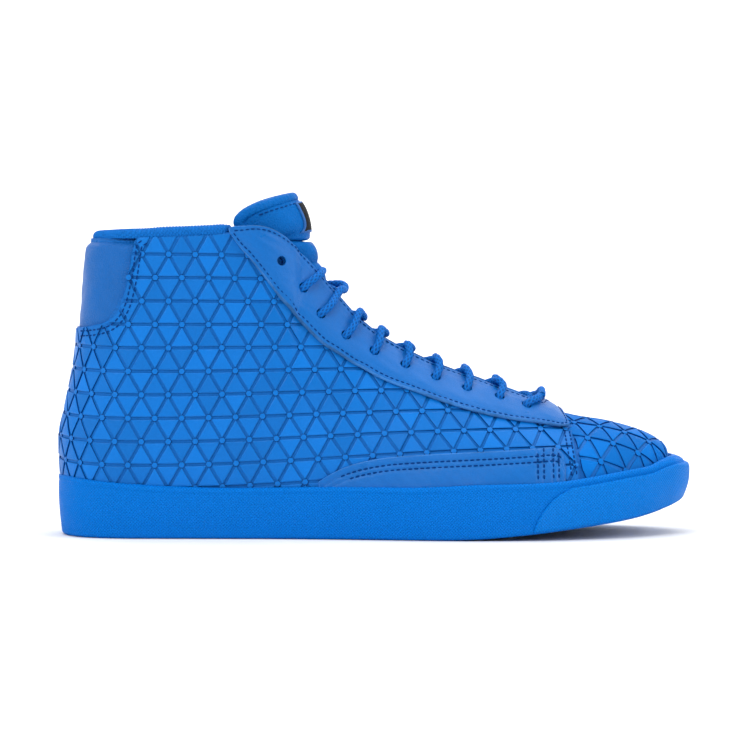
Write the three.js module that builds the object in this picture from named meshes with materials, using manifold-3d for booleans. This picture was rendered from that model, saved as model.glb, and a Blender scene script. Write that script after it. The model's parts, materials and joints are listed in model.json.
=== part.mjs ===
// A right-foot basketball high top: rubber sole unit, embossed leather upper, padded
// collar and tongue, flat-laced throat with one round lace, and a lift-out sockliner.
// Millimetres. +X points to the toe, +Z up, +Y to the medial (inner) side of the foot.
// The upper's outer skin is one smooth surface; every panel is a band of that surface
// with its own depth, so the layers nest without touching.
import * as THREE from "three";
import Module from "manifold-3d";

// ---- driving dimensions -------------------------------------------------
const LENGTH = 305;             // overall length
const HALF = LENGTH / 2;
const BOX_MID_Y = -0.908;       // middle of the finished width, moved onto the origin
const FEATHER = 12;             // height of the feather line over the ground
const HEEL_R = 34;              // depth of the rounded heel
const LEG_HALF = 33;            // half width of the ankle
const QUARTER_T = 1.9;          // embossed leather
const OVERLAY_T = 1.2;          // smooth leather overlays
const GAP = 0.3;                // clearance between stacked layers
const STAY_GAP = 0.6;           // the eyestay follows a tighter curve, so it stands off a little more
const LACE_R = 2.1;             // round lace, 4.2 mm
const EYELET_R = 2.4;           // punched eyelet
const OUTSOLE_T = 5;
const BOARD_T = 1.6;
const SOCK_T = 4.4;

// ---- curves -------------------------------------------------------------
function pchip(xs, ys) {
  const n = xs.length, h = [], d = [], m = new Array(n).fill(0);
  for (let i = 0; i < n - 1; i++) { h.push(xs[i + 1] - xs[i]); d.push((ys[i + 1] - ys[i]) / h[i]); }
  m[0] = d[0]; m[n - 1] = d[n - 2];
  for (let i = 1; i < n - 1; i++)
    if (d[i - 1] * d[i] > 0) {
      const w1 = 2 * h[i] + h[i - 1], w2 = h[i] + 2 * h[i - 1];
      m[i] = (w1 + w2) / (w1 / d[i - 1] + w2 / d[i]);
    }
  return (x) => {
    x = Math.min(Math.max(x, xs[0]), xs[n - 1]);
    let i = 0;
    while (i < n - 2 && x >= xs[i + 1]) i++;
    const t = (x - xs[i]) / h[i], t2 = t * t, t3 = t2 * t;
    return (2 * t3 - 3 * t2 + 1) * ys[i] + (t3 - 2 * t2 + t) * h[i] * m[i] + (-2 * t3 + 3 * t2) * ys[i + 1] + (t3 - t2) * h[i] * m[i + 1];
  };
}
const fromHeel = (a) => a.map((x) => x - HALF);
const clamp = (x, a, b) => Math.min(Math.max(x, a), b);
const smooth = (t) => { t = clamp(t, 0, 1); return t * t * (3 - 2 * t); };

// plan outline of the upper at the feather line
const UX = fromHeel([0, 50, 75, 100, 130, 160, 185, 205, 225, 245, 262, 275, 285, 291, 294, 295.2]);
const upperLat = pchip(UX, [-36.5, -36.5, -37.2, -38.6, -41.5, -46, -50, -51.8, -50.8, -46, -38.4, -30.6, -21.8, -12.6, -4.4, 6.5]);
const upperMed = pchip(UX, [36, 36, 35.8, 34.2, 32.8, 34.6, 39.4, 44.3, 47.6, 48, 45.6, 40.6, 33.2, 24.6, 17, 6.5]);
const centre = pchip(fromHeel([0, 120, 160, 200, 240, 270, 295]), [0, 0, 0.5, 2, 4, 5.5, 6.5]);
// back of the heel, x against height
const heelBack = pchip([8, 20, 28, 35, 47, 51, 58.6, 67.3, 77.7, 87.5, 98.9, 112, 118.3, 131, 138, 146, 170],
  [-147, -150.2, -151.8, -152.3, -152.6, -152.1, -150.2, -148.4, -146.3, -144.7, -143.8, -142.2, -141.7, -140.9, -140.2, -139.6, -138]);
// line of the instep and toe, height against x
const RIDGE_X = [-160, -100, -67, -45, -39.6, -36.13, -32.28, -27.46, -21.68, -14.45, -7.23, 2.41, 12.04, 21.68, 31.32, 50.58, 69.86, 81.9, 89.13, 98.76, 108.4, 116.11, 123.82, 131.52, 136.34, 140.2, 141.5, 142.0, 142.4, 142.7];
const RIDGE_Z = [768, 468, 303, 193, 166, 144.77, 136.1, 128.39, 119.72, 111.55, 104.55, 97.1, 91.5, 86.5, 81.45, 74.95, 67.9, 62.7, 58.6, 56.14, 54.69, 53.01, 50.84, 47.95, 45.3, 42.16, 38.79, 35.42, 30.12, 23.37];
// the throat is held open by the tongue, so the line stands higher between collar and vamp
const openUp = pchip([-39.6, -36, -10, 0, 20, 50, 69, 78, 81.9], [0, 2, 2, 1.7, 1.4, 1.3, 0.9, 0.3, 0]);
const ridge = pchip(RIDGE_X, RIDGE_Z.map((z, i) => z + openUp(RIDGE_X[i])));
const spring = pchip(fromHeel([0, 182, 200, 225, 246, 275, 290, 300, 305.5]), [0, 0, 0.6, 2.6, 4.9, 8.6, 12, 15, 17.5]);
const PX = [-152, -60, -30, 0, 50, 100, 142];
const expP = pchip(PX, [2.6, 2.4, 2.0, 1.75, 1.8, 2.1, 2.4]);
const expQ = pchip(PX, [2, 2.1, 2.4, 1.95, 1.9, 1.95, 2]);
const feather = (x) => FEATHER + spring(x);

function fullHalf(x, z, side) {           // half width before the instep and heel are rounded
  const c = centre(x), A = side < 0 ? c - upperLat(x) : upperMed(x) - c;
  return A + (LEG_HALF - A) * smooth((z - 28) / 100) * smooth((20 - x) / 70);
}
const heelRound = (x, z) => {
  const t = clamp((x - heelBack(z)) / HEEL_R, 0, 1);
  return Math.sqrt(Math.max(1 - Math.pow(1 - t, 2.25), 0));
};
function half(x, z, side) {
  const z0 = feather(x), e = clamp((z - z0) / (ridge(x) - z0), 0, 1);
  return fullHalf(x, z, side) * Math.pow(Math.max(1 - Math.pow(e, expP(x)), 0), 1 / expQ(x)) * heelRound(x, z);
}
// rear parameterisation: a = -1..1 turns round the heel, beyond that runs forwards
function PA(a, z) {
  const s = a < 0 ? -1 : 1, m = Math.abs(a), xb = heelBack(z);
  const x = m <= 1 ? xb + HEEL_R * (1 - Math.cos(m * Math.PI / 2)) : xb + HEEL_R + (m - 1) * HEEL_R;
  return [x, centre(x) + s * half(x, z, s), z];
}
const aOf = (x, z, s) => {
  const t = (x - heelBack(z)) / HEEL_R;
  return s * (t < 1 ? Math.acos(clamp(1 - t, 0, 1)) / (Math.PI / 2) : t);
};
// front parameterisation: f = 0 on the instep line, -pi/2 and pi/2 at the feather line
function PB(x, f) {
  const s = f < 0 ? -1 : 1, sn = Math.abs(Math.sin(f)), z0 = feather(x);
  const e = Math.pow(Math.max(1 - Math.pow(sn, expQ(x)), 0), 1 / expP(x));
  const z = z0 + (ridge(x) - z0) * e;
  return [x, centre(x) + s * fullHalf(x, z, s) * sn * heelRound(x, z), z];
}
const fOf = (x, z, s) => {
  const z0 = feather(x), e = clamp((z - z0) / (ridge(x) - z0), 0, 1);
  return s * Math.asin(clamp(Math.pow(Math.max(1 - Math.pow(e, expP(x)), 0), 1 / expQ(x)), 0, 1));
};
const sub = (a, b) => [a[0] - b[0], a[1] - b[1], a[2] - b[2]];
const cross = (a, b) => [a[1] * b[2] - a[2] * b[1], a[2] * b[0] - a[0] * b[2], a[0] * b[1] - a[1] * b[0]];
const dot = (a, b) => a[0] * b[0] + a[1] * b[1] + a[2] * b[2];
const unit = (a) => { const l = Math.hypot(...a) || 1; return [a[0] / l, a[1] / l, a[2] / l]; };
const along = (p, n, d) => [p[0] + n[0] * d, p[1] + n[1] * d, p[2] + n[2] * d];
function normalOf(P, u, v, hu, hv) {
  const n = unit(cross(sub(P(u + hu, v), P(u - hu, v)), sub(P(u, v + hv), P(u, v - hv))));
  const p = P(u, v), q = [clamp(p[0], -116, 118), centre(p[0]), P === PA ? p[2] : feather(p[0]) + 8];
  return dot(n, sub(p, q)) < 0 ? [-n[0], -n[1], -n[2]] : n;
}
const NA = (a, z) => normalOf(PA, a, z, 0.02, 0.6);
const NB = (x, f) => normalOf(PB, x, f, 0.6, 0.03);

// ---- solids -------------------------------------------------------------
const wasm = await Module();
wasm.setup();
function makeSolid(verts, tris) {
  let m = new wasm.Manifold(new wasm.Mesh({ numProp: 3, vertProperties: new Float32Array(verts.flat()), triVerts: new Uint32Array(tris.flat()) }));
  if (m.volume() < 0)
    m = new wasm.Manifold(new wasm.Mesh({ numProp: 3, vertProperties: new Float32Array(verts.flat()), triVerts: new Uint32Array(tris.map((t) => [t[0], t[2], t[1]]).flat()) }));
  return m;
}
// a closed sheet between two matching grids of points
function between(O, I, ring = false) {
  const n = O.length, m = O[0].length, v = [...O.flat(), ...I.flat()], t = [];
  const o = (i, j) => (i % n) * m + j, k = (i, j) => n * m + (i % n) * m + j;
  const quad = (a, b, c, d) => t.push([a, b, c], [a, c, d]);
  for (let i = 0; i < (ring ? n : n - 1); i++) {
    for (let j = 0; j < m - 1; j++) {
      quad(o(i, j), o(i + 1, j), o(i + 1, j + 1), o(i, j + 1));
      quad(k(i, j), k(i, j + 1), k(i + 1, j + 1), k(i + 1, j));
    }
    quad(o(i, 0), k(i, 0), k(i + 1, 0), o(i + 1, 0));
    quad(o(i, m - 1), o(i + 1, m - 1), k(i + 1, m - 1), k(i, m - 1));
  }
  if (!ring)
    for (let j = 0; j < m - 1; j++) {
      quad(o(0, j), o(0, j + 1), k(0, j + 1), k(0, j));
      quad(o(n - 1, j), k(n - 1, j), k(n - 1, j + 1), o(n - 1, j + 1));
    }
  return makeSolid(v, t);
}
// panel: grid of surface parameters, out and inn are depths (number or function of i, j)
function panel(P, N, grid, out, inn) {
  const val = (d, i, j) => (typeof d === "function" ? d(i, j, grid[i][j]) : d);
  const O = grid.map((r, i) => r.map((g, j) => along(P(...g), N(...g), val(out, i, j))));
  const I = grid.map((r, i) => r.map((g, j) => along(P(...g), N(...g), val(inn, i, j))));
  return between(O, I);
}
const lerp = (a, b, t) => a + (b - a) * t;
const steps = (a, b, n) => Array.from({ length: n + 1 }, (_, i) => lerp(a, b, i / n));
// closed skin swept round a chain of section loops, with flat ends
function sweep(loops, closed = false) {
  const n = loops.length, m = loops[0].length, v = loops.flat(), t = [];
  const o = (i, j) => (i % n) * m + (j % m);
  for (let i = 0; i < (closed ? n : n - 1); i++)
    for (let j = 0; j < m; j++) t.push([o(i, j), o(i + 1, j), o(i + 1, j + 1)], [o(i, j), o(i + 1, j + 1), o(i, j + 1)]);
  if (!closed)
    for (let j = 1; j < m - 1; j++) t.push([o(0, 0), o(0, j), o(0, j + 1)], [o(n - 1, 0), o(n - 1, j + 1), o(n - 1, j)]);
  return makeSolid(v, t);
}
function tube(points, r, sides = 6) {
  const loops = [];
  let up = [0.3, 0.2, 1];
  points.forEach((p, i) => {
    const t = unit(sub(points[Math.min(i + 1, points.length - 1)], points[Math.max(i - 1, 0)]));
    up = unit(sub(up, t.map((c) => c * dot(up, t))));
    const b = cross(t, up);
    loops.push(Array.from({ length: sides }, (_, k) => {
      const w = (2 * Math.PI * k) / sides;
      return [0, 1, 2].map((c) => p[c] + r * (Math.cos(w) * up[c] + Math.sin(w) * b[c]));
    }));
  });
  return sweep(loops);
}
// flat piece whose outline is given at matching stations and whose height follows x
function slab(stations, lat, med, zb, zt, insetBottom = 0) {
  const loops = stations.map((x) => {
    const l = lat(x), m = med(x), w = m - l, k = Math.min(insetBottom, w * 0.3);
    return [[x, l + k, zb(x)], [x, m - k, zb(x)], [x, m, zt(x)], [x, l, zt(x)]];
  });
  return sweep(loops);
}

// ---- sole ---------------------------------------------------------------
// outer plan outline of the sidewall, widest level; the toe wrap adds 1.3 in front
const SX = fromHeel([0, 1.2, 5, 12, 24, 40, 60, 80, 105, 130, 160, 185, 205, 225, 245, 262, 276, 287, 295.5, 300.5, 303, 303.7]);
const soleLat = pchip(SX, [0, -11.5, -21.8, -30.8, -37.2, -39.6, -40, -40.4, -41.6, -44.2, -49.2, -53, -54.5, -53.4, -48.8, -41.6, -33, -24.2, -14.6, -6.2, 1.2, 8]);
const soleMed = pchip(SX, [0, 11.5, 21.6, 30.4, 36.4, 38.9, 39.2, 38.6, 36.8, 35.2, 37.4, 42, 47, 50.6, 51.2, 48.6, 43.8, 37.6, 29.8, 22.6, 15.2, 8]);
const WALL_TOP_X = [-152.5, -146.9, -138.5, -122.9, -107.8, -89, -70.6, -40.4, -11.3, 14, 30.9, 47.2, 72.4, 86.6, 98.6, 111.2, 121.1, 131.9, 137.3, 144.4];
const wallTop = pchip(WALL_TOP_X, [28.8, 28.7, 27.9, 26.5, 25.5, 24.6, 24.2, 24.6, 25, 25, 25.5, 26.4, 27, 27.7, 29, 30.8, 32.3, 33.8, 35.7, 37.4]);
const loopX = [...Array.from({ length: 9 }, (_, i) => -HALF + 30 * (1 - Math.cos((i / 8) * Math.PI / 2))), ...steps(-110, 92, 13), ...Array.from({ length: 9 }, (_, i) => 151.2 - 48 * (1 - Math.sin(((i + 1) / 9) * Math.PI / 2)))];
const soleLoop = [...loopX.slice(0, -1).map((x) => [x, soleLat(x)]), [151.2, 8], ...loopX.slice(1, -1).reverse().map((x) => [x, soleMed(x)])];
const outward = (loop, i) => {
  const n = loop.length, a = loop[(i + n - 1) % n], b = loop[(i + 1) % n];
  const t = [b[0] - a[0], b[1] - a[1]], l = Math.hypot(...t);
  return [t[1] / l, -t[0] / l];                 // loop runs counter-clockwise seen from below the heel
};
const sgn = (() => { let A = 0; soleLoop.forEach((p, i) => { const q = soleLoop[(i + 1) % soleLoop.length]; A += p[0] * q[1] - q[0] * p[1]; }); return A > 0 ? 1 : -1; })();
const ring = (d) => soleLoop.map((p, i) => { const o = outward(soleLoop, i); return [p[0] + sgn * o[0] * d, p[1] + sgn * o[1] * d]; });
// the surface of the upper where the sidewall is bonded to it, pushed out by a clearance
const upperAt = (p, z) => {
  const s = p[1] < centre(p[0]) ? -1 : 1;
  if (p[0] < -112) {
    const ang = Math.atan2(Math.abs(p[1]), -112 - p[0]), a = s * clamp(ang / (Math.PI / 2), 0, 1.0);
    let lo = 0, hi = 1.2;
    for (let k = 0; k < 30; k++) { const m = (lo + hi) / 2, q = PA(s * m, z); Math.atan2(Math.abs(q[1]), -112 - q[0]) < ang ? (lo = m) : (hi = m); }
    const q = PA(s * lo, z), nn = NA(s * lo, z), n = unit([nn[0], nn[1], 0]);
    return [q[0] + n[0] * 0.5, q[1] + n[1] * 0.5];
  }
  return null;
};
// inner plan line of the sidewall: the outline of the upper plus a clearance
const wallLoops = soleLoop.map((p, i) => {
  const o = outward(soleLoop, i), n = [sgn * o[0], sgn * o[1]];
  const s = p[1] < centre(p[0]) ? -1 : 1, x = p[0];
  // thickness from the outer line to the upper
  let q = upperAt(p, 24);
  if (!q) {
    const U = [...steps(0, 1, 200)].map((t) => { const xx = lerp(-114, UX[UX.length - 1], 1 - Math.pow(1 - t, 1.6)); return [xx, s < 0 ? upperLat(xx) : upperMed(xx)]; });
    let best = null, bd = 1e9;
    for (const u of U) { const d = Math.hypot(u[0] - p[0], u[1] - p[1]); if (d < bd) { bd = d; best = u; } }
    const dir = unit([p[0] - best[0], p[1] - best[1], 0]);
    q = [best[0] + dir[0] * 0.5, best[1] + dir[1] * 0.5];
  }
  const T = Math.max(Math.hypot(p[0] - q[0], p[1] - q[1]), 0.8);
  const sp = spring(x), zt = wallTop(x);
  const at = (d, z) => [p[0] + n[0] * d, p[1] + n[1] * d, z];
  return [at(-3.2, sp + 0.15), at(-1.1, sp + 4), at(0, lerp(sp + 4, zt, 0.72)), at(-0.35, zt - 0.6), [lerp(p[0], q[0], 0.55), lerp(p[1], q[1], 0.55), zt], [q[0], q[1], zt - 0.7], [q[0], q[1], sp + FEATHER - 0.2], at(-Math.max(T, 4) - 2.2, sp + FEATHER - 1.4), at(-Math.max(T, 4) - 2.2, sp + 0.15)];
});
const inner = (d) => ring(-d);
const nodes = {};
nodes.sidewall_foxing = sweep(wallLoops, true);
// stations for the flat pieces inside the sidewall
const flatX = (a, b, n) => Array.from({ length: n + 1 }, (_, i) => lerp(a, b, (1 - Math.cos((i / n) * Math.PI)) / 2));
function outlineFns(loop) {                    // lat and med as functions of x from a closed plan loop
  const cut = (x, side) => {
    const ys = [];
    for (let i = 0; i < loop.length; i++) {
      const a = loop[i], b = loop[(i + 1) % loop.length];
      if ((a[0] - x) * (b[0] - x) <= 0 && a[0] !== b[0]) ys.push(a[1] + ((b[1] - a[1]) * (x - a[0])) / (b[0] - a[0]));
    }
    return side < 0 ? Math.min(...ys) : Math.max(...ys);
  };
  return [(x) => cut(x, -1), (x) => cut(x, 1)];
}
const innerWall = wallLoops.map((l) => [l[8][0], l[8][1]]);
const shrink = (loop, d) => loop.map((p, i) => { const o = outward(loop, i); return [p[0] - sgn * o[0] * d, p[1] - sgn * o[1] * d]; });
const core = shrink(innerWall, 0.45), [coreLat, coreMed] = outlineFns(core);
const coreA = Math.min(...core.map((p) => p[0])), coreB = Math.max(...core.map((p) => p[0]));
const coreX = flatX(coreA + 1.2, coreB - 1.2, 22);
nodes.outsole = slab(coreX, coreLat, coreMed, (x) => spring(x), (x) => spring(x) + OUTSOLE_T);
nodes.midsole_foam = slab(coreX, coreLat, coreMed, (x) => spring(x) + OUTSOLE_T + GAP, (x) => spring(x) + FEATHER - 1.2);
// toe wrap: a second strip of rubber over the front of the sidewall
function prism(outline, y0, y1) {               // side-view outline extruded across the shoe
  const g = new THREE.ExtrudeGeometry(new THREE.Shape(outline.map(([x, z]) => new THREE.Vector2(x, z))), { depth: y1 - y0, bevelEnabled: false });
  const P = g.attributes.position, v = [], key = new Map(), t = [];
  const id = (i) => { const p = [P.getX(i), -P.getZ(i) + y1, P.getY(i)], k = p.map((c) => Math.round(c * 1e4)).join(); if (!key.has(k)) { key.set(k, v.length); v.push(p); } return key.get(k); };
  for (let i = 0; i < P.count; i += 3) t.push([id(i), id(i + 1), id(i + 2)]);
  return makeSolid(v, t);
}
{
  const idx = soleLoop.map((p, i) => i).filter((i) => soleLoop[i][0] > 60);
  const col = (i, d) => {
    const p = soleLoop[i], o = outward(soleLoop, i), n = [sgn * o[0], sgn * o[1]], sp = spring(p[0]), zt = wallTop(p[0]);
    return [[-2.6, sp + 0.85], [-1.1, sp + 4], [0, lerp(sp + 4, zt, 0.72)], [-0.12, zt - 3.4]].map(([k, z]) => [p[0] + n[0] * (k + d), p[1] + n[1] * (k + d), z]);
  };
  const band = between(idx.map((i) => col(i, 1.25)), idx.map((i) => col(i, 0.36)));
  nodes.toe_wrap = band.intersect(prism([[74.0, -2], [74.2, 2.2], [75.6, 8.0], [79.1, 14.6], [83.3, 19.5], [86.5, 21.9], [91.3, 24.2], [100, 40], [170, 40], [170, -2]], -70, 70));
}

// ---- upper --------------------------------------------------------------
// panel lines in side view, [x, z]
const COLLAR = [[-141, 142.2], [-132.2, 142.4], [-112.8, 142.9], [-94.4, 143.5], [-79.3, 144.1], [-69.2, 144.8]];
const TAB_EDGE = [[-143, 99.6], [-140.7, 99.9], [-132.9, 100.8], [-126.7, 102.6], [-122.3, 106.8], [-119.8, 111.9], [-117.6, 120.3], [-116.3, 127.1], [-115.1, 135.5], [-113.8, 140.6], [-111.3, 142.8]];
const THROAT = [[-69, 146.6], [-61.9, 147.5], [-55.4, 147.7], [-49.4, 146.2], [-44.5, 143.3], [-39.6, 138.7], [-35, 133.4], [-30.6, 128.6], [-26.4, 123.5], [-22.6, 118.6], [-19.3, 115.0], [-15.2, 110.0], [-10.3, 104.6], [-3.7, 99.0], [2.4, 94.4], [11.2, 89.2], [18.8, 85.3], [24.3, 82.6], [32.6, 79.2], [40.9, 76.2], [50.2, 73.0], [59.7, 69.6], [69.2, 66.2], [76.5, 63.4]];
const STAY_REAR = [[-69, 144.7], [-64.2, 137.6], [-59.7, 132.6], [-55.2, 126.8], [-50.7, 120.8], [-46.2, 114.5], [-42.6, 110.2], [-39, 106], [-35.5, 101.8], [-31.5, 97.5], [-28, 94], [-24.6, 91.0], [-19.2, 87.7], [-11.1, 82.3], [-2.9, 78.0], [8.0, 72.6], [16.5, 69.6], [24.3, 66.7], [33, 63.6], [42.6, 60.6], [53, 57.8], [63.8, 55.6], [74.6, 54.1], [83, 52.8]];
const xOfCollar = pchip(COLLAR.map((p) => p[0]), COLLAR.map((p) => p[1]));
const throatZ = pchip(THROAT.map((p) => p[0]), THROAT.map((p) => p[1]));
const bottomZ = (x) => feather(x) + 0.4;
// top line of the quarter: heel edge of the tab, collar, then just inside the throat
const qTop = (x) => x < -111.3 ? pchip(TAB_EDGE.map((p) => p[0]), TAB_EDGE.map((p) => p[1] - 0.2))(x) : x < -69.2 ? xOfCollar(x) - 0.3 : throatZ(x) - 2.2;
for (const s of [-1, 1]) {
  const side = s < 0 ? "lateral" : "medial";
  const xs = [null, -151, -147.5, -142, -135, -128.5, -124, -121, -118.2, -116, -114, -111.5, -100, -88, -77, -69.5, -62, -55, -49, -43, -36, -28, -20, -10, 0, 12, 25, 38, 50, 62, 70, 76, 82, 88, 93.5];
  const frontZ = pchip([76, 82, 88, 93.5], [60.8, 56.6, 53.6, 51]);
  const grid = xs.map((x0) => {
    const rows = 7;
    return steps(0, 1, rows).map((t1) => {
      const t = x0 !== null && x0 > -64 && x0 < 80 ? 1 - Math.pow(1 - t1, 1.55) : t1;
      if (x0 === null) return [s * 0.02, lerp(FEATHER + 0.4, 99.4, t)];
      const x = x0, top = x > 76 ? frontZ(x) : x < -140 ? 99.5 : qTop(x), bot = bottomZ(x);
      const z = lerp(bot, top, t);
      // the front edge of the quarter leans forwards towards the sole
      const xx = x > 62 ? x + (x - 62) / 31.5 * (1 - t) * 4.6 : x;
      const xa = x0 < -135 ? -135 + (x + 135) * (-135 - heelBack(z)) / 17.5 : xx;   // columns close up round the heel
      return [aOf(xa, z, s), z];
    });
  });
  nodes[side + "_quarter"] = panel(PA, NA, grid, 0, -QUARTER_T);
}
// smooth leather heel tab, tucked under the quarters
{
  const e = pchip([95, 98, 101, 104, 108, 113, 120, 127, 135, 142], [-134, -130, -123, -119, -116.4, -114.4, -112.6, -111.4, -110.4, -108.2]);
  const grid = steps(-1, 1, 18).map((u) => steps(95, 142, 5).map((z) => [u * Math.abs(aOf(e(z), z, 1)), z]));
  nodes.heel_tab = panel(PA, NA, grid, -QUARTER_T - GAP - 0.2, -QUARTER_T - GAP - 1.4);
}
// stiff heel counter between the quarters and the lining
{
  const e = pchip([14, 40, 70, 90], [-78, -84, -96, -112]);
  const grid = steps(-1, 1, 18).map((u) => steps(14, 90, 4).map((z) => [u * Math.abs(aOf(e(z), z, 1)), z]));
  nodes.heel_counter = panel(PA, NA, grid, -QUARTER_T - GAP - 0.35, -QUARTER_T - GAP - 1.3);
}
// foam inside the collar
{
  const grid = steps(-1, 1, 26).map((u) => steps(94, 141, 5).map((z) => [u * Math.abs(aOf(lerp(-92, -80, smooth((z - 94) / 30)), z, 1)), z]));
  const deep = (i, j) => -5.2 - 3.8 * Math.sin(Math.PI * clamp(j / 5, 0.06, 0.9)) * (1 - Math.pow(Math.abs(i / 13 - 1), 8) * 0.8);
  nodes.collar_foam = panel(PA, NA, grid, -QUARTER_T - GAP - 1.3 - GAP - 0.6, deep);
}
// textile lining of the quarters, one piece round the heel
{
  const top = (x) => x < -69.2 ? xOfCollar(x) - 0.2 : x < -52 ? 141.5 : Math.min(qTop(x) - 18, 141);
  const list = [58, 42, 26, 10, -6, -22, -36, -48, -58, -68, -78, -88, -98, -108, -118];
  const cols = [...list.map((x) => [x, -1]), ...[0.75, 0.5, 0.25].map((a) => [a, -9]), [0, 0], ...[0.25, 0.5, 0.75].map((a) => [a, 9]), ...list.slice().reverse().map((x) => [x, 1])];
  const grid = cols.map(([x, s]) => steps(0, 1, 8).map((t) => {
    if (Math.abs(s) === 1) { const z = lerp(bottomZ(x) + 3.2, top(x), t); return [aOf(x, z, s), z]; }
    const z = lerp(FEATHER + 3.6, 142.2, t);
    return [Math.sign(s) * x, z];
  }));
  const depth = (i, j, g) => {
    const x = PA(g[0], g[1])[0];
    return -4.5 - 6.0 * smooth((g[1] - 78) / 20) * smooth((-58 - x) / 14) * (1 - 0.32 * smooth((g[1] - 132) / 10));
  };
  nodes.quarter_lining = panel(PA, NA, grid, depth, (i, j, g) => depth(i, j, g) - 1.0);
}
// webbing roll bound over the top edge of the collar
{
  const loops = [];
  const add = (a, x) => {
    const z = a === null ? 0 : 142.6;
    const zc = x === null ? 142.6 : xOfCollar(x) + 0.2;
    const g = a === null ? aOf(x, zc, 1) : a;
    const p = PA(g, zc), n = NA(g, zc), m = unit([n[0], n[1], 0]);
    const S = [[0.1, 0], [0.2, 1.8], [-1.2, 3.4], [-4.2, 4.0], [-7.4, 3.2], [-8.6, 1.2], [-8.6, 0]];
    return S.map(([d, h]) => [p[0] + m[0] * d, p[1] + m[1] * d, zc + h]);
  };
  const half1 = [-69.4, -76, -84, -92, -100, -108].map((x) => [x, -1]);
  const seq = [...half1.map(([x]) => [aOf(x, xOfCollar(x) + 0.2, -1), x]), ...steps(-0.95, 0.95, 14).map((a) => [a, null]), ...half1.slice().reverse().map(([x]) => [aOf(x, xOfCollar(x) + 0.2, 1), x])];
  for (const [a, x] of seq) loops.push(add(a, x));
  nodes.collar_binding = sweep(loops);
}
// vamp over the toes
{
  const rear = (f) => { const t = Math.abs(f) / (Math.PI / 2); return pchip([0, 0.12, 0.3, 0.45, 0.6, 0.8, 1], [78.6, 79.6, 87.5, 94.9, 96.2, 98.2, 99.6])(t); };
  const fs = [-1, -0.88, -0.76, -0.64, -0.53, -0.42, -0.31, -0.2, -0.1, 0, 0.1, 0.2, 0.31, 0.42, 0.53, 0.64, 0.76, 0.88, 1].map((t) => t * Math.PI / 2);
  const grid = [0, 0.14, 0.28, 0.42, 0.55, 0.67, 0.78, 0.87, 0.94, 0.98, 1].map((u) => fs.map((f) => [lerp(rear(f), 142.25, u), f]));
  nodes.vamp = panel(PB, NB, grid, 0, -QUARTER_T);
  const g2 = steps(0, 1, 5).map((u) => fs.map((f) => [lerp(112, 139.2, u), f * 0.93]));
  nodes.toe_puff = panel(PB, NB, g2, -QUARTER_T - GAP - 0.3, -QUARTER_T - GAP - 1.1);
  const g3 = steps(0, 1, 7).map((u) => fs.map((f) => [lerp(86, 138.4, u), f * 0.93]));
  nodes.vamp_lining = panel(PB, NB, g3, -QUARTER_T - GAP - 1.8, -QUARTER_T - GAP - 2.6);
}
// smooth leather eyestay, one piece from the lateral corner round the throat to the medial corner
const stayCols = [];
{
  const lat = THROAT.map((p, i) => [p, STAY_REAR[i]]);
  const side = (s) => lat.map(([t, r]) => [[t[0], fOf(t[0], t[1], s)], [r[0], fOf(r[0], r[1], s)]]);
  const L = side(-1), M = side(1).reverse();
  const front = [[[78.6, fOf(78.6, 62.9, -1)], [92.4, fOf(92.4, 52.2, -1)]], [[80.2, fOf(80.2, 62.9, -1) * 0.6], [91.4, fOf(91.4, 54.6, -1)]], [[80.8, 0], [89.6, 0]], [[80.2, fOf(80.2, 62.9, 1) * 0.6], [91.4, fOf(91.4, 54.6, 1)]], [[78.6, fOf(78.6, 62.9, 1)], [92.4, fOf(92.4, 52.2, 1)]]];
  stayCols.push(...L, ...front, ...M);
  const grid = stayCols.map(([t, r]) => steps(0, 1, 3).map((v) => [lerp(t[0], r[0], v), lerp(t[1], r[1], v)]));
  nodes.eyestay = panel(PB, NB, grid, STAY_GAP + OVERLAY_T, STAY_GAP);
}
// woven facing tape behind each eyelet row
for (const s of [-1, 1]) {
  const grid = THROAT.map((t, i) => [t, STAY_REAR[i]]).filter((_, i) => i >= 3 && i <= 22).map(([t, r]) => steps(0.1, 0.72, 2).map((v) => { const a = fOf(t[0], t[1], s), b = fOf(r[0], r[1], s); return [lerp(t[0], r[0], v), lerp(a, b, v)]; }));
  nodes[(s < 0 ? "lateral" : "medial") + "_eyelet_facing"] = panel(PB, NB, grid, -QUARTER_T - GAP - 0.45, -QUARTER_T - GAP - 1.25);
}
// smooth leather mudguards along the forefoot, standing on the top edge of the sidewall
const GUARD = [[-26.5, 27.2], [-20, 31.2], [-13, 34.4], [-4, 36.9], [8, 38.8], [22, 39.8], [38, 40.6], [52, 41.2], [64, 41.8], [76, 42.4], [83, 42.8], [86.4, 42.0], [88.2, 38.8], [89.4, 34.5]];
for (const s of [-1, 1]) {
  const grid = GUARD.map(([x, zt]) => { const zb = wallTop(x) + 0.5; return steps(0, 1, 2).map((t) => { const z = lerp(zb, Math.max(zt, zb + 1), t); return [x, fOf(x, z, s)]; }); });
  nodes[(s < 0 ? "lateral" : "medial") + "_mudguard"] = panel(PB, NB, grid, GAP + 1.2, GAP);
}
// insole board and sockliner lie inside the lining
const inside = (s, d) => (x) => { const c = centre(x), w = half(x, feather(x) + 3, s) - d; return c + s * Math.max(w, 1.2); };
const boardX = flatX(-142.6, 135, 20);
nodes.insole_board = slab(boardX, inside(-1, 4.6), inside(1, 4.6), (x) => spring(x) + FEATHER - 0.8, (x) => spring(x) + FEATHER - 0.8 + BOARD_T);
const sockX = flatX(-139.5, 127, 20);
nodes.sockliner = slab(sockX, inside(-1, 8.2), inside(1, 8.2), (x) => spring(x) + FEATHER + 1.2, (x) => spring(x) + FEATHER + 1.2 + SOCK_T);

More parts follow.
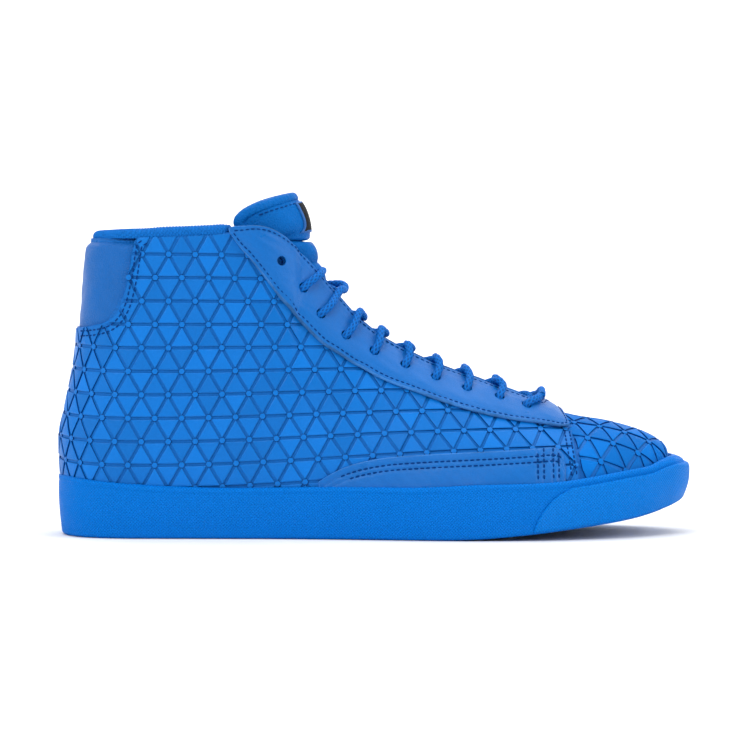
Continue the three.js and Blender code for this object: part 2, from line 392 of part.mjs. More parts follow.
// ---- tongue -------------------------------------------------------------
// rows from the base up in side view: wing x z, throat edge x z, centre x z
const onB = (x, z, s, d) => { const f = fOf(x, z, s); return along(PB(x, f), NB(x, f), d); };
const ridgeIn = (x, d) => { const p = along(PB(x, 0), NB(x, 0), d); return [p[0], p[2]]; };
const UNDER = -9.1;                             // depth of the tongue where it lies under the eyestay
const TONGUE_T = 6.2;
const TONGUE_PIVOT = [80, 52];                 // x, z of the seam the tongue tilts about
const TROWS = [
  [82, 50.5, 77.5, 58.5, ...ridgeIn(79.5, -8.6)], [68, 54, 66, 66.6, ...ridgeIn(69, -8.2)], [52, 57.5, 52, 72.0, ...ridgeIn(55, -8)], [35, 62, 38, 77.0, ...ridgeIn(41, -8)],
  [17, 68.5, 23, 83.0, ...ridgeIn(27, -8)], [1, 76, 9, 90.0, ...ridgeIn(13, -8)], [-13, 85, -4, 99.0, ...ridgeIn(0, -8)], [-24, 94, -13.5, 108.0, ...ridgeIn(-9, -7.6)],
  [-35, 105, -20.4, 116.6, -18.6, 110.6], [-44, 116, -27.2, 124.4, -24.6, 121], [-52, 127, -34.5, 133, -28.8, 132.6, 2.2], [-56.4, 134.5, -42.2, 141.6, -31.4, 140.4, 4.4]];
const VN = 12, vs = steps(-1, 1, VN), VE = 0.5;
const tongueRow = (r) => vs.map((v) => {
  const s = v < 0 ? -1 : 1, m = Math.abs(v), E = onB(r[2], r[3], s, UNDER);
  if (m <= VE) {
    const u = (m / VE) * (Math.PI / 2), k = Math.pow(Math.max(Math.cos(u), 0), 1.15), c = centre(r[4]);
    return [lerp(E[0], r[4], k), c + (E[1] - c) * Math.sin(u), lerp(E[2], r[5], k)];
  }
  const t = (m - VE) / (1 - VE);
  return onB(lerp(r[2], r[0], t), lerp(r[3], r[1], t), s, UNDER - t * (r[6] || 0));
});
const flapRow = (xc, zc, xw, zw, yw) => vs.map((v) => {
  const s = v < 0 ? -1 : 1, u = Math.abs(v) * Math.PI / 2, k = Math.pow(Math.max(Math.cos(u), 0), 0.85);
  return [lerp(xw, xc, k), s * yw * Math.sin(u), lerp(zw, zc, k)];
});
const body = TROWS.map(tongueRow);
const seam = body[body.length - 1].map((p, i) => [p[0] - 0.25, p[1], p[2] + 0.62]);
const flap = [seam, flapRow(-33.2, 148.2, -60.6, 140.8, 19.8), flapRow(-35.4, 155.6, -63.4, 145.8, 20.2), flapRow(-38.6, 162.4, -65.4, 149.6, 20.8)];
function gridSurface(rows) {
  const idx = rows.map((_, i) => i), f = vs.map((_, j) => [0, 1, 2].map((c) => pchip(idx, rows.map((r) => r[j][c]))));
  const P = (r, v) => { const q = clamp((v + 1) / 2 * VN, 0, VN), j = Math.min(Math.floor(q), VN - 1), t = q - j; return [0, 1, 2].map((c) => lerp(f[j][c](r), f[j + 1][c](r), t)); };
  const N0 = (r, v) => { const R0 = clamp(r - 0.5, 0, rows.length - 1), R1 = clamp(r + 0.5, 0, rows.length - 1), V0 = clamp(v - 0.12, -1, 1), V1 = clamp(v + 0.12, -1, 1); return unit(cross(sub(P(R1, v), P(R0, v)), sub(P(r, V1), P(r, V0)))); };
  const o = Math.sign(dot(N0(1, 0), [0.7, 0, 0.7]));
  return [P, (r, v) => N0(r, v).map((c) => c * o)];
}
const [TP, TN1] = gridSurface(body), [FP, FN1] = gridSurface(flap);
const layer = (P, N, rs, a, b) => {
  const thin = (v) => 1 - 0.55 * smooth((Math.abs(v) - 0.6) / 0.4);
  const g = rs.map((r) => vs.map((v) => [r, v]));
  return panel(P, N, g, (i, j, q) => -a * TONGUE_T * thin(q[1]), (i, j, q) => -b * TONGUE_T * thin(q[1]));
};
const tr = steps(0, TROWS.length - 1, TROWS.length - 1), fr = steps(0, 3, 3);
nodes.tongue_shell = layer(TP, TN1, tr, 0, 0.22);
nodes.tongue_foam = layer(TP, TN1, tr, 0.29, 0.78);
nodes.tongue_lining = layer(TP, TN1, tr, 0.85, 1);
nodes.tongue_flap_shell = layer(FP, FN1, fr, 0, 0.22);
nodes.tongue_flap_foam = layer(FP, FN1, fr, 0.3, 0.7);
nodes.tongue_flap_lining = layer(FP, FN1, fr, 0.86, 1.02);
// rolled binding over the top edge of the tongue
{
  const loops = steps(-0.97, 0.97, 14).map((v) => {
    const p = FP(3, v), q = FP(2.7, v), n = FN1(3, v), u = unit(sub(p, q)), w = TONGUE_T * (1 - 0.55 * smooth((Math.abs(v) - 0.6) / 0.4));
    const S = [[0.7, 0.3], [0.9, 1.6], [-0.6, 3.1], [-w / 2, 3.6], [-w + 0.6, 3.1], [-w - 0.6, 1.6], [-w - 0.4, 0.3]];
    return S.map(([d, h]) => along(along(p, n, d), u, h));
  });
  nodes.tongue_binding = sweep(loops);
}
// plain folded label at the centre of the tongue flap
nodes.tongue_label = panel(FP, FN1, steps(0.5, 2.5, 4).map((r) => steps(-0.3, 0.3, 6).map((v) => [r, v])), 1.2, 0.35);

// ---- lace ---------------------------------------------------------------
// eyelet rows, top to toe, in side view; the top pair is left unlaced
const EYELETS = [[-44.9, 130.8], [-35.0, 117.6], [-26.4, 105.3], [-14.6, 94.9], [-1.0, 87.0], [13.8, 80.4], [28.2, 74.4], [43.3, 69.2], [58.7, 65.1], [71.3, 61.0]];
const OUT = STAY_GAP + OVERLAY_T + LACE_R + 0.35, IN = -QUARTER_T - GAP - 1.25 - LACE_R - 0.3;
const throatNear = (e) => { let best = 0, bd = 1e9; for (let x = -66; x < 76; x += 0.25) { const d = Math.hypot(x - e[0], throatZ(x) - e[1]); if (d < bd) { bd = d; best = x; } } return best; };
const TAU = EYELETS.map(throatNear);
const toThroat = (k, d) => { const e = EYELETS[k], t = [TAU[k] - e[0], throatZ(TAU[k]) - e[1]], l = Math.hypot(...t); return [e[0] + (t[0] / l) * d, e[1] + (t[1] / l) * d]; };
const onTongue = (x, y, up) => {               // a point over the tongue in the throat, lifted off it
  let r = 0, bd = 1e9;
  for (let q = 0; q <= TROWS.length - 1; q += 0.05) { const p = TP(q, 0), d = Math.abs(p[0] - x); if (d < bd) { bd = d; r = q; } }
  let v = 0, be = 1e9;
  for (let q = -0.6; q <= 0.6; q += 0.02) { const d = Math.abs(TP(r, q)[1] - y); if (d < be) { be = d; v = q; } }
  const n = TN1(r, 0);
  return along(TP(r, v), n, up);
};
const lacePts = [];
{
  const pass = (k, s, up) => {                 // through eyelet k, inside to outside when up
    const a = [onB(...toThroat(k, 3.4), s, IN), onB(...toThroat(k, 0.2), s, IN + 2.1), onB(...toThroat(k, 0.2), s, OUT - 2.1), onB(...toThroat(k, 3.4), s, OUT + 0.1)];
    return up ? a : a.reverse();
  };
  const strand = (s) => {
    const out = [...pass(9, s, false)];
    let side = s, over = s < 0;
    for (let k = 9; k >= 2; k--) {
      const t = (u) => lerp(TAU[k], TAU[k - 1], u), lift = over ? 7.8 : 2.8, c = centre(t(0.5));
      const at = (x, sd, d) => onB(x, throatZ(x), sd, d);
      const xo = k > 3 ? 3.4 : k === 3 ? 2.2 : 1.2;
      out.push(at(t(0.2), side, k === 9 ? IN - 0.2 : OUT + 0.2));
      out.push(onTongue(t(0.41) + xo, c + side * 3.4, lift - (over ? 0.2 : 0)), onTongue(t(0.5) + xo, c, lift), onTongue(t(0.59) + xo, c - side * 3.4, lift - (over ? 0.2 : 0)));
      out.push(at(t(0.8), -side, IN - 0.2));
      out.push(...pass(k - 1, -side, true));
      side = -side; over = !over;
    }
    return { out, side };
  };
  const L = strand(-1), M = strand(1);
  const tail = (sd) => [onB(-28.8, 122.6, sd, OUT + 0.2), onB(-26.2, 125.6, sd, 1.4), onB(-28.8, 127.4, sd, IN - 1.0), onB(-37, 126, sd, IN - 0.6), onB(-47, 119.5, sd, IN - 1.6), onB(-54, 108, sd, IN - 2.4), onB(-56.5, 92, sd, IN - 2.8), onB(-56, 78, sd, IN - 2.8)];
  const bar = [-0.5, -0.25, 0, 0.25, 0.5].map((q) => { const f = q * 1.1; return along(PB(77.4 + (0.5 - Math.abs(q)) * 1.6, f), NB(77.4, f), OUT + 0.3); });
  lacePts.push(...tail(L.side).reverse(), ...L.out.slice().reverse(), ...bar, ...M.out, ...tail(M.side));
}
const laceLine = [lacePts[0]];
for (const p of lacePts.slice(1)) {             // long runs get a middle point
  const q = laceLine[laceLine.length - 1], l = Math.hypot(...sub(p, q));
  if (l > 14) laceLine.push(q.map((c, i) => (c + p[i]) / 2));
  laceLine.push(p);
}
class Through extends THREE.Curve {              // polyline that keeps its own points
  constructor(points) { super(); this.points = points.map((p) => new THREE.Vector3(...p)); }
  getUtoTmapping(u) { return u; }
  getPoint(t) {
    const n = this.points.length - 1, k = clamp(t * n, 0, n), i = Math.min(Math.floor(k + 1e-9), n - 1);
    return this.points[i].clone().lerp(this.points[i + 1], clamp(k - i, 0, 1));
  }
  getTangent(t) {
    const n = this.points.length - 1, i = Math.round(t * n), a = this.points[Math.max(i - 1, 0)], b = this.points[Math.min(i + 1, n)], c = this.points[i];
    const u = c.clone().sub(a), v = b.clone().sub(c);
    if (u.lengthSq() > 0) u.normalize();
    if (v.lengthSq() > 0) v.normalize();
    return u.add(v).normalize();
  }
}
function cordSolid(points, r, sides) {          // extruded along the curve through the points
  const path = new Through(points);
  const disc = new THREE.Shape(Array.from({ length: sides }, (_, k) => new THREE.Vector2(r * Math.cos((2 * Math.PI * k) / sides), r * Math.sin((2 * Math.PI * k) / sides))));
  const g = new THREE.ExtrudeGeometry(disc, { steps: points.length - 1, extrudePath: path, bevelEnabled: false });
  const v = [], key = new Map(), t = [], P = g.attributes.position;
  const id = (i) => { const k = [P.getX(i), P.getY(i), P.getZ(i)].map((c) => Math.round(c * 1e4)).join(); if (!key.has(k)) { key.set(k, v.length); v.push([P.getX(i), P.getY(i), P.getZ(i)]); } return key.get(k); };
  for (let i = 0; i < P.count; i += 3) { const a = id(i), b = id(i + 1), c = id(i + 2); if (a !== b && b !== c && a !== c) t.push([a, b, c]); }
  return makeSolid(v, t);
}
const cut = laceLine.length;
nodes.lace = cordSolid(laceLine, LACE_R, 8);
const endDir = (a, b) => unit(sub(b, a));
const tip = (p, q) => { const u = endDir(q, p); return [along(p, u, 0.3), along(p, u, 9), along(p, u, 18)]; };
const tipA = tip(laceLine[0], laceLine[2]), tipB = tip(laceLine[cut - 1], laceLine[cut - 3]);
nodes.aglet_a = tube(tipA, 1.7, 8);
nodes.aglet_b = tube(tipB, 1.7, 8);

// ---- clearances ----------------------------------------------------------
// the same solid with every face moved out
function fat(solid, d) {
  const m = solid.getMesh(), n = m.numVert, v = [], N = Array.from({ length: n }, () => []), t = [];
  for (let i = 0; i < n; i++) v.push(Array.from(m.vertProperties.subarray(i * m.numProp, i * m.numProp + 3)));
  for (let i = 0; i < m.triVerts.length; i += 3) {
    const f = [m.triVerts[i], m.triVerts[i + 1], m.triVerts[i + 2]], q = unit(cross(sub(v[f[1]], v[f[0]]), sub(v[f[2]], v[f[0]])));
    t.push(f);
    for (const k of f) N[k].push(q);
  }
  const w = v.map((p, i) => {
    let u = unit(N[i].reduce((a, b) => a.map((c, k) => c + b[k]), [0, 0, 0]));
    const least = Math.min(...N[i].map((q) => dot(q, u)));
    return along(p, u, d / clamp(least, 0.5, 1));
  });
  return makeSolid(w, t);
}
const whole = (s) => { const p = s.decompose(); return p.length > 1 ? p.reduce((a, b) => (a.volume() > b.volume() ? a : b)) : s; };
const carve = (name, ...by) => { for (const b of by) nodes[name] = nodes[name].subtract(b); nodes[name] = whole(nodes[name]); };
const F = (n, d = 0.2) => fat(nodes[n], d);
// the lace as the tongue meets it when it tilts inwards about its base
const swing = [0.5, 1, 1.6, 2.2, 2.8, 3.4, 4].map((deg) => {
  const w = deg * Math.PI / 180, [px, pz] = TONGUE_PIVOT;
  return cordSolid(laceLine.map(([x, y, z]) => [px + (x - px) * Math.cos(w) + (z - pz) * Math.sin(w), y, pz - (x - px) * Math.sin(w) + (z - pz) * Math.cos(w)]), LACE_R + 0.45, 8);
});
const qL = F("lateral_quarter"), qM = F("medial_quarter"), fox = F("sidewall_foxing", 0.25);
const holes = [-1, 1].flatMap((s) => EYELETS.map((e, k) => { const q = k === 0 ? e : toThroat(k, 0.2); return cordSolid([onB(...q, s, 6), onB(...q, s, -6)], k === 0 ? EYELET_R : LACE_R + 0.75, 8); }));
for (const n of ["vamp", "eyestay", "lateral_mudguard", "medial_mudguard", "lateral_eyelet_facing", "medial_eyelet_facing", "heel_tab", "heel_counter", "insole_board", "quarter_lining"]) carve(n, qL, qM);
for (const n of ["vamp", "insole_board", "lateral_mudguard", "medial_mudguard", "quarter_lining", "lateral_quarter", "medial_quarter", "midsole_foam", "outsole"]) carve(n, fox);
for (const n of ["vamp", "toe_puff"]) carve(n, F("eyestay"));
carve("toe_puff", F("vamp", 0.2)); carve("vamp_lining", F("vamp", 0.2), F("toe_puff", 0.2));
carve("collar_foam", F("heel_tab")); carve("quarter_lining", F("heel_counter"), F("collar_foam"), F("collar_binding"));
carve("insole_board", F("quarter_lining"), F("vamp_lining")); carve("sockliner", F("quarter_lining"), F("vamp_lining"), F("insole_board", 0.2));
for (const n of ["tongue_shell", "tongue_foam", "tongue_lining"]) carve(n, qL, qM, F("eyestay"), F("lateral_eyelet_facing"), F("medial_eyelet_facing"), F("vamp"), F("vamp_lining"), F("quarter_lining"), F("lace"), ...swing);
for (const n of ["tongue_flap_shell", "tongue_flap_foam", "tongue_flap_lining"]) carve(n, qL, qM, F("eyestay"), F("quarter_lining"), F("collar_binding"), F("tongue_shell", 0.2), F("tongue_foam", 0.2), F("tongue_lining", 0.2));
for (const n of ["lateral_quarter", "medial_quarter", "eyestay", "lateral_eyelet_facing", "medial_eyelet_facing", "quarter_lining"]) carve(n, ...holes, F("lace"));
carve("tongue_flap_lining", F("tongue_flap_foam", 0.2));
carve("tongue_label", F("tongue_flap_shell", 0.2), F("tongue_binding", 0.2));

// ---- tidy ----------------------------------------------------------------
// drop vertices that a cut left on flat faces or on straight edges
function tidy(solid, tol) {
  const m = solid.getMesh(), v = [], T = [], of = [];
  for (let i = 0; i < m.numVert; i++) { v.push(Array.from(m.vertProperties.subarray(i * m.numProp, i * m.numProp + 3))); of.push(new Set()); }
  for (let i = 0; i < m.triVerts.length; i += 3) { T.push([m.triVerts[i], m.triVerts[i + 1], m.triVerts[i + 2]]); for (const k of T[T.length - 1]) of[k].add(T.length - 1); }
  const around = (a) => { const r = new Set(); for (const t of of[a]) for (const k of T[t]) if (k !== a) r.add(k); return r; };
  const nrm = (a, b, c) => cross(sub(b, a), sub(c, a));
  for (let pass = 0; pass < 8; pass++) {
    let done = 0;
    for (let a = 0; a < v.length; a++) {
      if (!of[a].size) continue;
      const ring = around(a);
      let best = null, bl = 1e9;
      for (const b of ring) {
        let shared = 0;
        for (const k of around(b)) if (ring.has(k)) shared++;
        if (shared !== 2) continue;
        const len = Math.hypot(...sub(v[a], v[b])), tiny = len < 0.02;
        let ok = true, worst = 0;
        for (const t of of[a]) {
          if (T[t].includes(b)) continue;
          const q = T[t].map((k) => v[k]), w = T[t].map((k) => v[k === a ? b : k]), n0 = nrm(...q), n1 = nrm(...w), l0 = Math.hypot(...n0), l1 = Math.hypot(...n1);
          if (l1 < 0.004) { ok = false; break; }
          if (l0 > 0.004 && dot(n0, n1) / (l0 * l1) < 0.5) { ok = false; break; }
          const e = w.map((p, i) => Math.hypot(...sub(w[(i + 1) % 3], p))), h = l1 / Math.max(...e);
          if (h < 0.05) { ok = false; break; }
          worst = Math.max(worst, Math.abs(dot(unit(n1), sub(v[a], v[b]))));
          if (worst > tol) { ok = false; break; }
        }
        if (ok && (tiny ? 0 : worst + len * 1e-4) < bl) { bl = tiny ? 0 : worst + len * 1e-4; best = b; }
      }
      if (best === null) continue;
      for (const t of [...of[a]]) {
        if (T[t].includes(best)) { for (const k of T[t]) of[k].delete(t); T[t] = null; }
        else { T[t] = T[t].map((k) => (k === a ? best : k)); of[best].add(t); }
      }
      of[a].clear();
      done++;
    }
    if (!done) break;
  }
  // corners that meet at one point are drawn apart a hair, towards their own neighbours
  const spot = new Map();
  for (let a = 0; a < v.length; a++) {
    if (!of[a].size) continue;
    const key = v[a].map((c) => Math.round(c * 500)).join();
    spot.set(key, [...(spot.get(key) || []), a]);
  }
  for (const g of spot.values())
    if (g.length > 1)
      for (const a of g) {
        const r = [...around(a)], c = [0, 1, 2].map((k) => r.reduce((x, b) => x + v[b][k], 0) / r.length);
        v[a] = along(v[a], unit(sub(c, v[a])), 0.01);
      }
  const used = new Map(), out = [];
  for (const t of T) if (t) for (const k of t) if (!used.has(k)) { used.set(k, out.length); out.push(v[k]); }
  return makeSolid(out, T.filter(Boolean).map((t) => t.map((k) => used.get(k))));
}
for (const n of Object.keys(nodes)) if (n !== "lace") nodes[n] = whole(tidy(nodes[n], 0.035));

const root = new THREE.Group();
export { nodes, root, laceLine, PA, PB, NA, NB, aOf, fOf, half, ridge, centre, EYELETS, THROAT };
for (const [name, s] of Object.entries(nodes)) {
  const m = s.getMesh(), g = new THREE.BufferGeometry();
  const v = new Float32Array(m.numVert * 3);
  for (let i = 0; i < m.numVert; i++) v.set(m.vertProperties.subarray(i * m.numProp, i * m.numProp + 3), i * 3);
  g.setAttribute("position", new THREE.BufferAttribute(v, 3));
  g.setIndex(new THREE.BufferAttribute(m.triVerts, 1));
  const mesh = new THREE.Mesh(g, new THREE.MeshStandardMaterial({ color: 0x0a6bd0, roughness: 0.5, metalness: 0 }));
  mesh.name = name;
  root.add(mesh);
}
root.position.y = -BOX_MID_Y;
root.updateMatrixWorld(true);
export default root;
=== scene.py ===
# Basketball high top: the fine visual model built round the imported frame.
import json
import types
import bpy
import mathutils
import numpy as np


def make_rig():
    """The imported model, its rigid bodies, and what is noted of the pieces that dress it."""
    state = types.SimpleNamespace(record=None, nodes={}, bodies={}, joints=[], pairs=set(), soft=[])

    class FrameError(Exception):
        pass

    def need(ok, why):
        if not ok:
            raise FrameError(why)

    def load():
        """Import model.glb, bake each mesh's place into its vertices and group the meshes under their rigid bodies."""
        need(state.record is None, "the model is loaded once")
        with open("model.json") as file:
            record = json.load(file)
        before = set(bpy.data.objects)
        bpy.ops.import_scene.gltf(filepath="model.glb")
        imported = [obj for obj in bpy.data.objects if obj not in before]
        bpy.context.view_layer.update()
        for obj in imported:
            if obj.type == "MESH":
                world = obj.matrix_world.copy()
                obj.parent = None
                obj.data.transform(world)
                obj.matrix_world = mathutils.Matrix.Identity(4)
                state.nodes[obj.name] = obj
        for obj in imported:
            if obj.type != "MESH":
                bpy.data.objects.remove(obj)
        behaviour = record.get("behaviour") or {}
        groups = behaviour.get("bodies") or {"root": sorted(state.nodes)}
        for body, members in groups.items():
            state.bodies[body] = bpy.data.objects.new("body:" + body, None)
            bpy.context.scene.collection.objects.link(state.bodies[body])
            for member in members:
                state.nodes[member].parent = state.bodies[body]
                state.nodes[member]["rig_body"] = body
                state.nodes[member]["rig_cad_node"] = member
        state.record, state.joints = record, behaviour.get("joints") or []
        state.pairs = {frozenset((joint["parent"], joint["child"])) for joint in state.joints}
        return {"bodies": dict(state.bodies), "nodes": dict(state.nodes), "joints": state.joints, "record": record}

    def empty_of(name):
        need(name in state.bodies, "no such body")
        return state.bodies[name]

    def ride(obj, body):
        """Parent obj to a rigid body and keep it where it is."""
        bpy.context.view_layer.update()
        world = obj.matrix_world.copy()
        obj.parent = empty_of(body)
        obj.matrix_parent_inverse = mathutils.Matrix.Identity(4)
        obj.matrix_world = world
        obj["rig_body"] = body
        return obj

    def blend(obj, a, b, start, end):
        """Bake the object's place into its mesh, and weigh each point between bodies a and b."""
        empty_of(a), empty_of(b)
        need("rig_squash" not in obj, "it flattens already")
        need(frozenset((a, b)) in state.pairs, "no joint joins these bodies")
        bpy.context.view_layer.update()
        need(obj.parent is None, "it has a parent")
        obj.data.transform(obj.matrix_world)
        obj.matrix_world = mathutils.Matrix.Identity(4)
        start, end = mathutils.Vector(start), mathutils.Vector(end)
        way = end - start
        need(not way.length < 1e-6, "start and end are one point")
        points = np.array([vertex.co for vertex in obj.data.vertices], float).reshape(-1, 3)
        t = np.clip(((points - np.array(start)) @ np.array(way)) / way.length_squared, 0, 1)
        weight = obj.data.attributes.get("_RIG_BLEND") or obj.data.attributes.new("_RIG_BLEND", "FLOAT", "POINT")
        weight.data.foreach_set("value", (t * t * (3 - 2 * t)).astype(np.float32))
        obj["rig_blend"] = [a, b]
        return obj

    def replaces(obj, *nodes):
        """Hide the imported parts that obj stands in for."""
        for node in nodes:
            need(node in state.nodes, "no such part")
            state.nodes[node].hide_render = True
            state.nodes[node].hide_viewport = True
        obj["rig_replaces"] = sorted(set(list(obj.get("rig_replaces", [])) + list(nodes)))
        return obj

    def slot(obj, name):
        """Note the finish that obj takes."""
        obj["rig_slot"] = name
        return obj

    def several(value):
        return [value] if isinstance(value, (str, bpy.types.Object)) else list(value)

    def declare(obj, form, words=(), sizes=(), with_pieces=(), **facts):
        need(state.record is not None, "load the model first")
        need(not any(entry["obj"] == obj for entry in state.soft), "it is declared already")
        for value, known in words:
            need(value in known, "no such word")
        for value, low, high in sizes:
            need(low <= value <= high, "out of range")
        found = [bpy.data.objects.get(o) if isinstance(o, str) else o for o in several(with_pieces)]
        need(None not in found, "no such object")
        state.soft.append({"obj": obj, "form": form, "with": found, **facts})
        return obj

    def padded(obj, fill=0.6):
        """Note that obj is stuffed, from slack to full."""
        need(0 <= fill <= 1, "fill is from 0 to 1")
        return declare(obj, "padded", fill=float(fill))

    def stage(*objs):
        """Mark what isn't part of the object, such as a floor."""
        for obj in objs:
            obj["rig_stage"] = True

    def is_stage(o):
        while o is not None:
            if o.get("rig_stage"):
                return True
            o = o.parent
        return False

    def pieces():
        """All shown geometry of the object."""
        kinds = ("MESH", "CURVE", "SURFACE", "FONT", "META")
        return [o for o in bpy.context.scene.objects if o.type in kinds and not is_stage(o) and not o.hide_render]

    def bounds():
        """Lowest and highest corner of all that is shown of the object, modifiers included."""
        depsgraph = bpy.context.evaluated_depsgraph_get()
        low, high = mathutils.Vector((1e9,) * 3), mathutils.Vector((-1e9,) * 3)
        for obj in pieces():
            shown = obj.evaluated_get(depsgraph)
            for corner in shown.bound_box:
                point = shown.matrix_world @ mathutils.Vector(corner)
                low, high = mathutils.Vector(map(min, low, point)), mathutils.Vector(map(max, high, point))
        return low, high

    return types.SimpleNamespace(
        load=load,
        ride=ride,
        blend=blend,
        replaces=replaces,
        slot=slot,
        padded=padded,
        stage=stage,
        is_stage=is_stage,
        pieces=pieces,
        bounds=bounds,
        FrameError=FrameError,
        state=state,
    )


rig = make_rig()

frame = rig.load()
CAD_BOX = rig.bounds()
import bpy, math, json
import numpy as np
from mathutils import Vector

SHIFT_Y = 0.908            # the part's frame has its origin under the middle of its box
H = 152.5
rng = np.random.default_rng(7)

# ---------------------------------------------------------------- camera, lights, floor
def look(obj, target):
    d = Vector(target) - obj.location
    obj.rotation_euler = d.to_track_quat("-Z", "Y").to_euler()
cam_d = bpy.data.cameras.new("view"); cam = bpy.data.objects.new("view", cam_d)
bpy.context.scene.collection.objects.link(cam)
cam_d.sensor_width = 36; cam_d.lens = 169.58; cam_d.clip_start = 0.05; cam_d.clip_end = 30
cam.location = (0, -1.7 + SHIFT_Y / 1000, 0.140)
cam.rotation_euler = (math.radians(90 - 2.158), 0, 0)
bpy.context.scene.camera = cam
bpy.context.scene.view_settings.view_transform = "Standard"

def area(name, loc, target, size, power, color=(1, 1, 1)):
    d = bpy.data.lights.new(name, "AREA"); d.shape = "RECTANGLE"; d.size, d.size_y = size; d.energy = power; d.color = color
    o = bpy.data.objects.new(name, d); o.location = loc; bpy.context.scene.collection.objects.link(o); look(o, target); return o
area("key", (-0.75, -1.15, 1.15), (0, 0, 0.06), (0.9, 0.7), 13)
area("top", (0.15, 0.15, 1.5), (0, 0, 0.05), (1.5, 1.0), 12)
area("right", (1.3, -0.5, 0.75), (0.03, 0, 0.08), (0.7, 0.9), 8)
area("left", (-1.4, -0.3, 0.6), (-0.03, 0, 0.08), (0.8, 0.9), 3)
area("wall", (0, 0.9, 1.9), (0, 2.8, 0.6), (3.5, 0.8), 60)
w = bpy.data.worlds.new("room"); bpy.context.scene.world = w; w.use_nodes = True
w.node_tree.nodes["Background"].inputs[0].default_value = (1, 1, 1, 1); w.node_tree.nodes["Background"].inputs[1].default_value = 0.5

# ---------------------------------------------------------------- curves and the upper's surface (mm)
def pchip(xs, ys):
    xs = np.asarray(xs, float); ys = np.asarray(ys, float); n = len(xs)
    h = np.diff(xs); d = np.diff(ys) / h; m = np.zeros(n); m[0] = d[0]; m[-1] = d[-1]
    for i in range(1, n - 1):
        if d[i - 1] * d[i] > 0:
            a, b = 2 * h[i] + h[i - 1], h[i] + 2 * h[i - 1]; m[i] = (a + b) / (a / d[i - 1] + b / d[i])
    def f(x):
        x = np.clip(np.asarray(x, float), xs[0], xs[-1]); i = np.clip(np.searchsorted(xs, x, "right") - 1, 0, n - 2)
        t = (x - xs[i]) / h[i]; t2 = t * t; t3 = t2 * t
        return (2*t3 - 3*t2 + 1) * ys[i] + (t3 - 2*t2 + t) * h[i] * m[i] + (3*t2 - 2*t3) * ys[i+1] + (t3 - t2) * h[i] * m[i+1]
    return f
hx = lambda a: [v - H for v in a]
UX = hx([0, 50, 75, 100, 130, 160, 185, 205, 225, 245, 262, 275, 285, 291, 294, 295.2])
upper_lat = pchip(UX, [-36.5, -36.5, -37.2, -38.6, -41.5, -46, -50, -51.8, -50.8, -46, -38.4, -30.6, -21.8, -12.6, -4.4, 6.5])
upper_med = pchip(UX, [36, 36, 35.8, 34.2, 32.8, 34.6, 39.4, 44.3, 47.6, 48, 45.6, 40.6, 33.2, 24.6, 17, 6.5])
centre = pchip(hx([0, 120, 160, 200, 240, 270, 295]), [0, 0, .5, 2, 4, 5.5, 6.5])
heel_back = pchip([8, 20, 28, 35, 47, 51, 58.6, 67.3, 77.7, 87.5, 98.9, 112, 118.3, 131, 138, 146, 170], [-147, -150.2, -151.8, -152.3, -152.6, -152.1, -150.2, -148.4, -146.3, -144.7, -143.8, -142.2, -141.7, -140.9, -140.2, -139.6, -138])
RIDGE_X = [-160, -100, -67, -45, -39.6, -36.13, -32.28, -27.46, -21.68, -14.45, -7.23, 2.41, 12.04, 21.68, 31.32, 50.58, 69.86, 81.9, 89.13, 98.76, 108.4, 116.11, 123.82, 131.52, 136.34, 140.2, 141.5, 142.0, 142.4, 142.7]
RIDGE_Z = [768, 468, 303, 193, 166, 144.77, 136.1, 128.39, 119.72, 111.55, 104.55, 97.1, 91.5, 86.5, 81.45, 74.95, 67.9, 62.7, 58.6, 56.14, 54.69, 53.01, 50.84, 47.95, 45.3, 42.16, 38.79, 35.42, 30.12, 23.37]
open_up = pchip([-39.6, -36, -10, 0, 20, 50, 69, 78, 81.9], [0, 2, 2, 1.7, 1.4, 1.3, 0.9, 0.3, 0])
ridge = pchip(RIDGE_X, [z + float(open_up(x)) for x, z in zip(RIDGE_X, RIDGE_Z)])
spring = pchip(hx([0, 182, 200, 225, 246, 275, 290, 300, 305.5]), [0, 0, .6, 2.6, 4.9, 8.6, 12, 15, 17.5])
PX = [-152, -60, -30, 0, 50, 100, 142]
exp_p = pchip(PX, [2.6, 2.4, 2.0, 1.75, 1.8, 2.1, 2.4]); exp_q = pchip(PX, [2, 2.1, 2.4, 1.95, 1.9, 1.95, 2])
feather = lambda x: 12 + spring(x)
def smooth(t): t = np.clip(t, 0, 1); return t * t * (3 - 2 * t)
def lerp(a, b, t): return a + (b - a) * t
def full_half(x, z, s):
    c = centre(x); A = np.where(s < 0, c - upper_lat(x), upper_med(x) - c)
    return A + (33 - A) * smooth((z - 28) / 100) * smooth((20 - x) / 70)
def heel_round(x, z):
    t = np.clip((x - heel_back(z)) / 34, 0, 1); return np.sqrt(np.maximum(1 - (1 - t) ** 2.25, 0))
def half(x, z, s):
    z0 = feather(x); e = np.clip((z - z0) / (ridge(x) - z0), 0, 1)
    return full_half(x, z, s) * np.maximum(1 - e ** exp_p(x), 0) ** (1 / exp_q(x)) * heel_round(x, z)
def PXZ(x, z, s): return np.stack([x, centre(x) + s * half(x, z, s), z], -1)
def PA(a, z):
    a = np.asarray(a, float); s = np.where(a < 0, -1.0, 1.0); m = np.abs(a); xb = heel_back(z)
    x = np.where(m <= 1, xb + 34 * (1 - np.cos(np.minimum(m, 1) * np.pi / 2)), xb + 34 * m); return PXZ(x, z, s)
def PB(x, f):
    s = np.where(f < 0, -1.0, 1.0); sn = np.abs(np.sin(f)); z0 = feather(x)
    e = np.maximum(1 - sn ** exp_q(x), 0) ** (1 / exp_p(x)); z = z0 + (ridge(x) - z0) * e
    return np.stack([x, centre(x) + s * full_half(x, z, s) * sn * heel_round(x, z), z], -1)
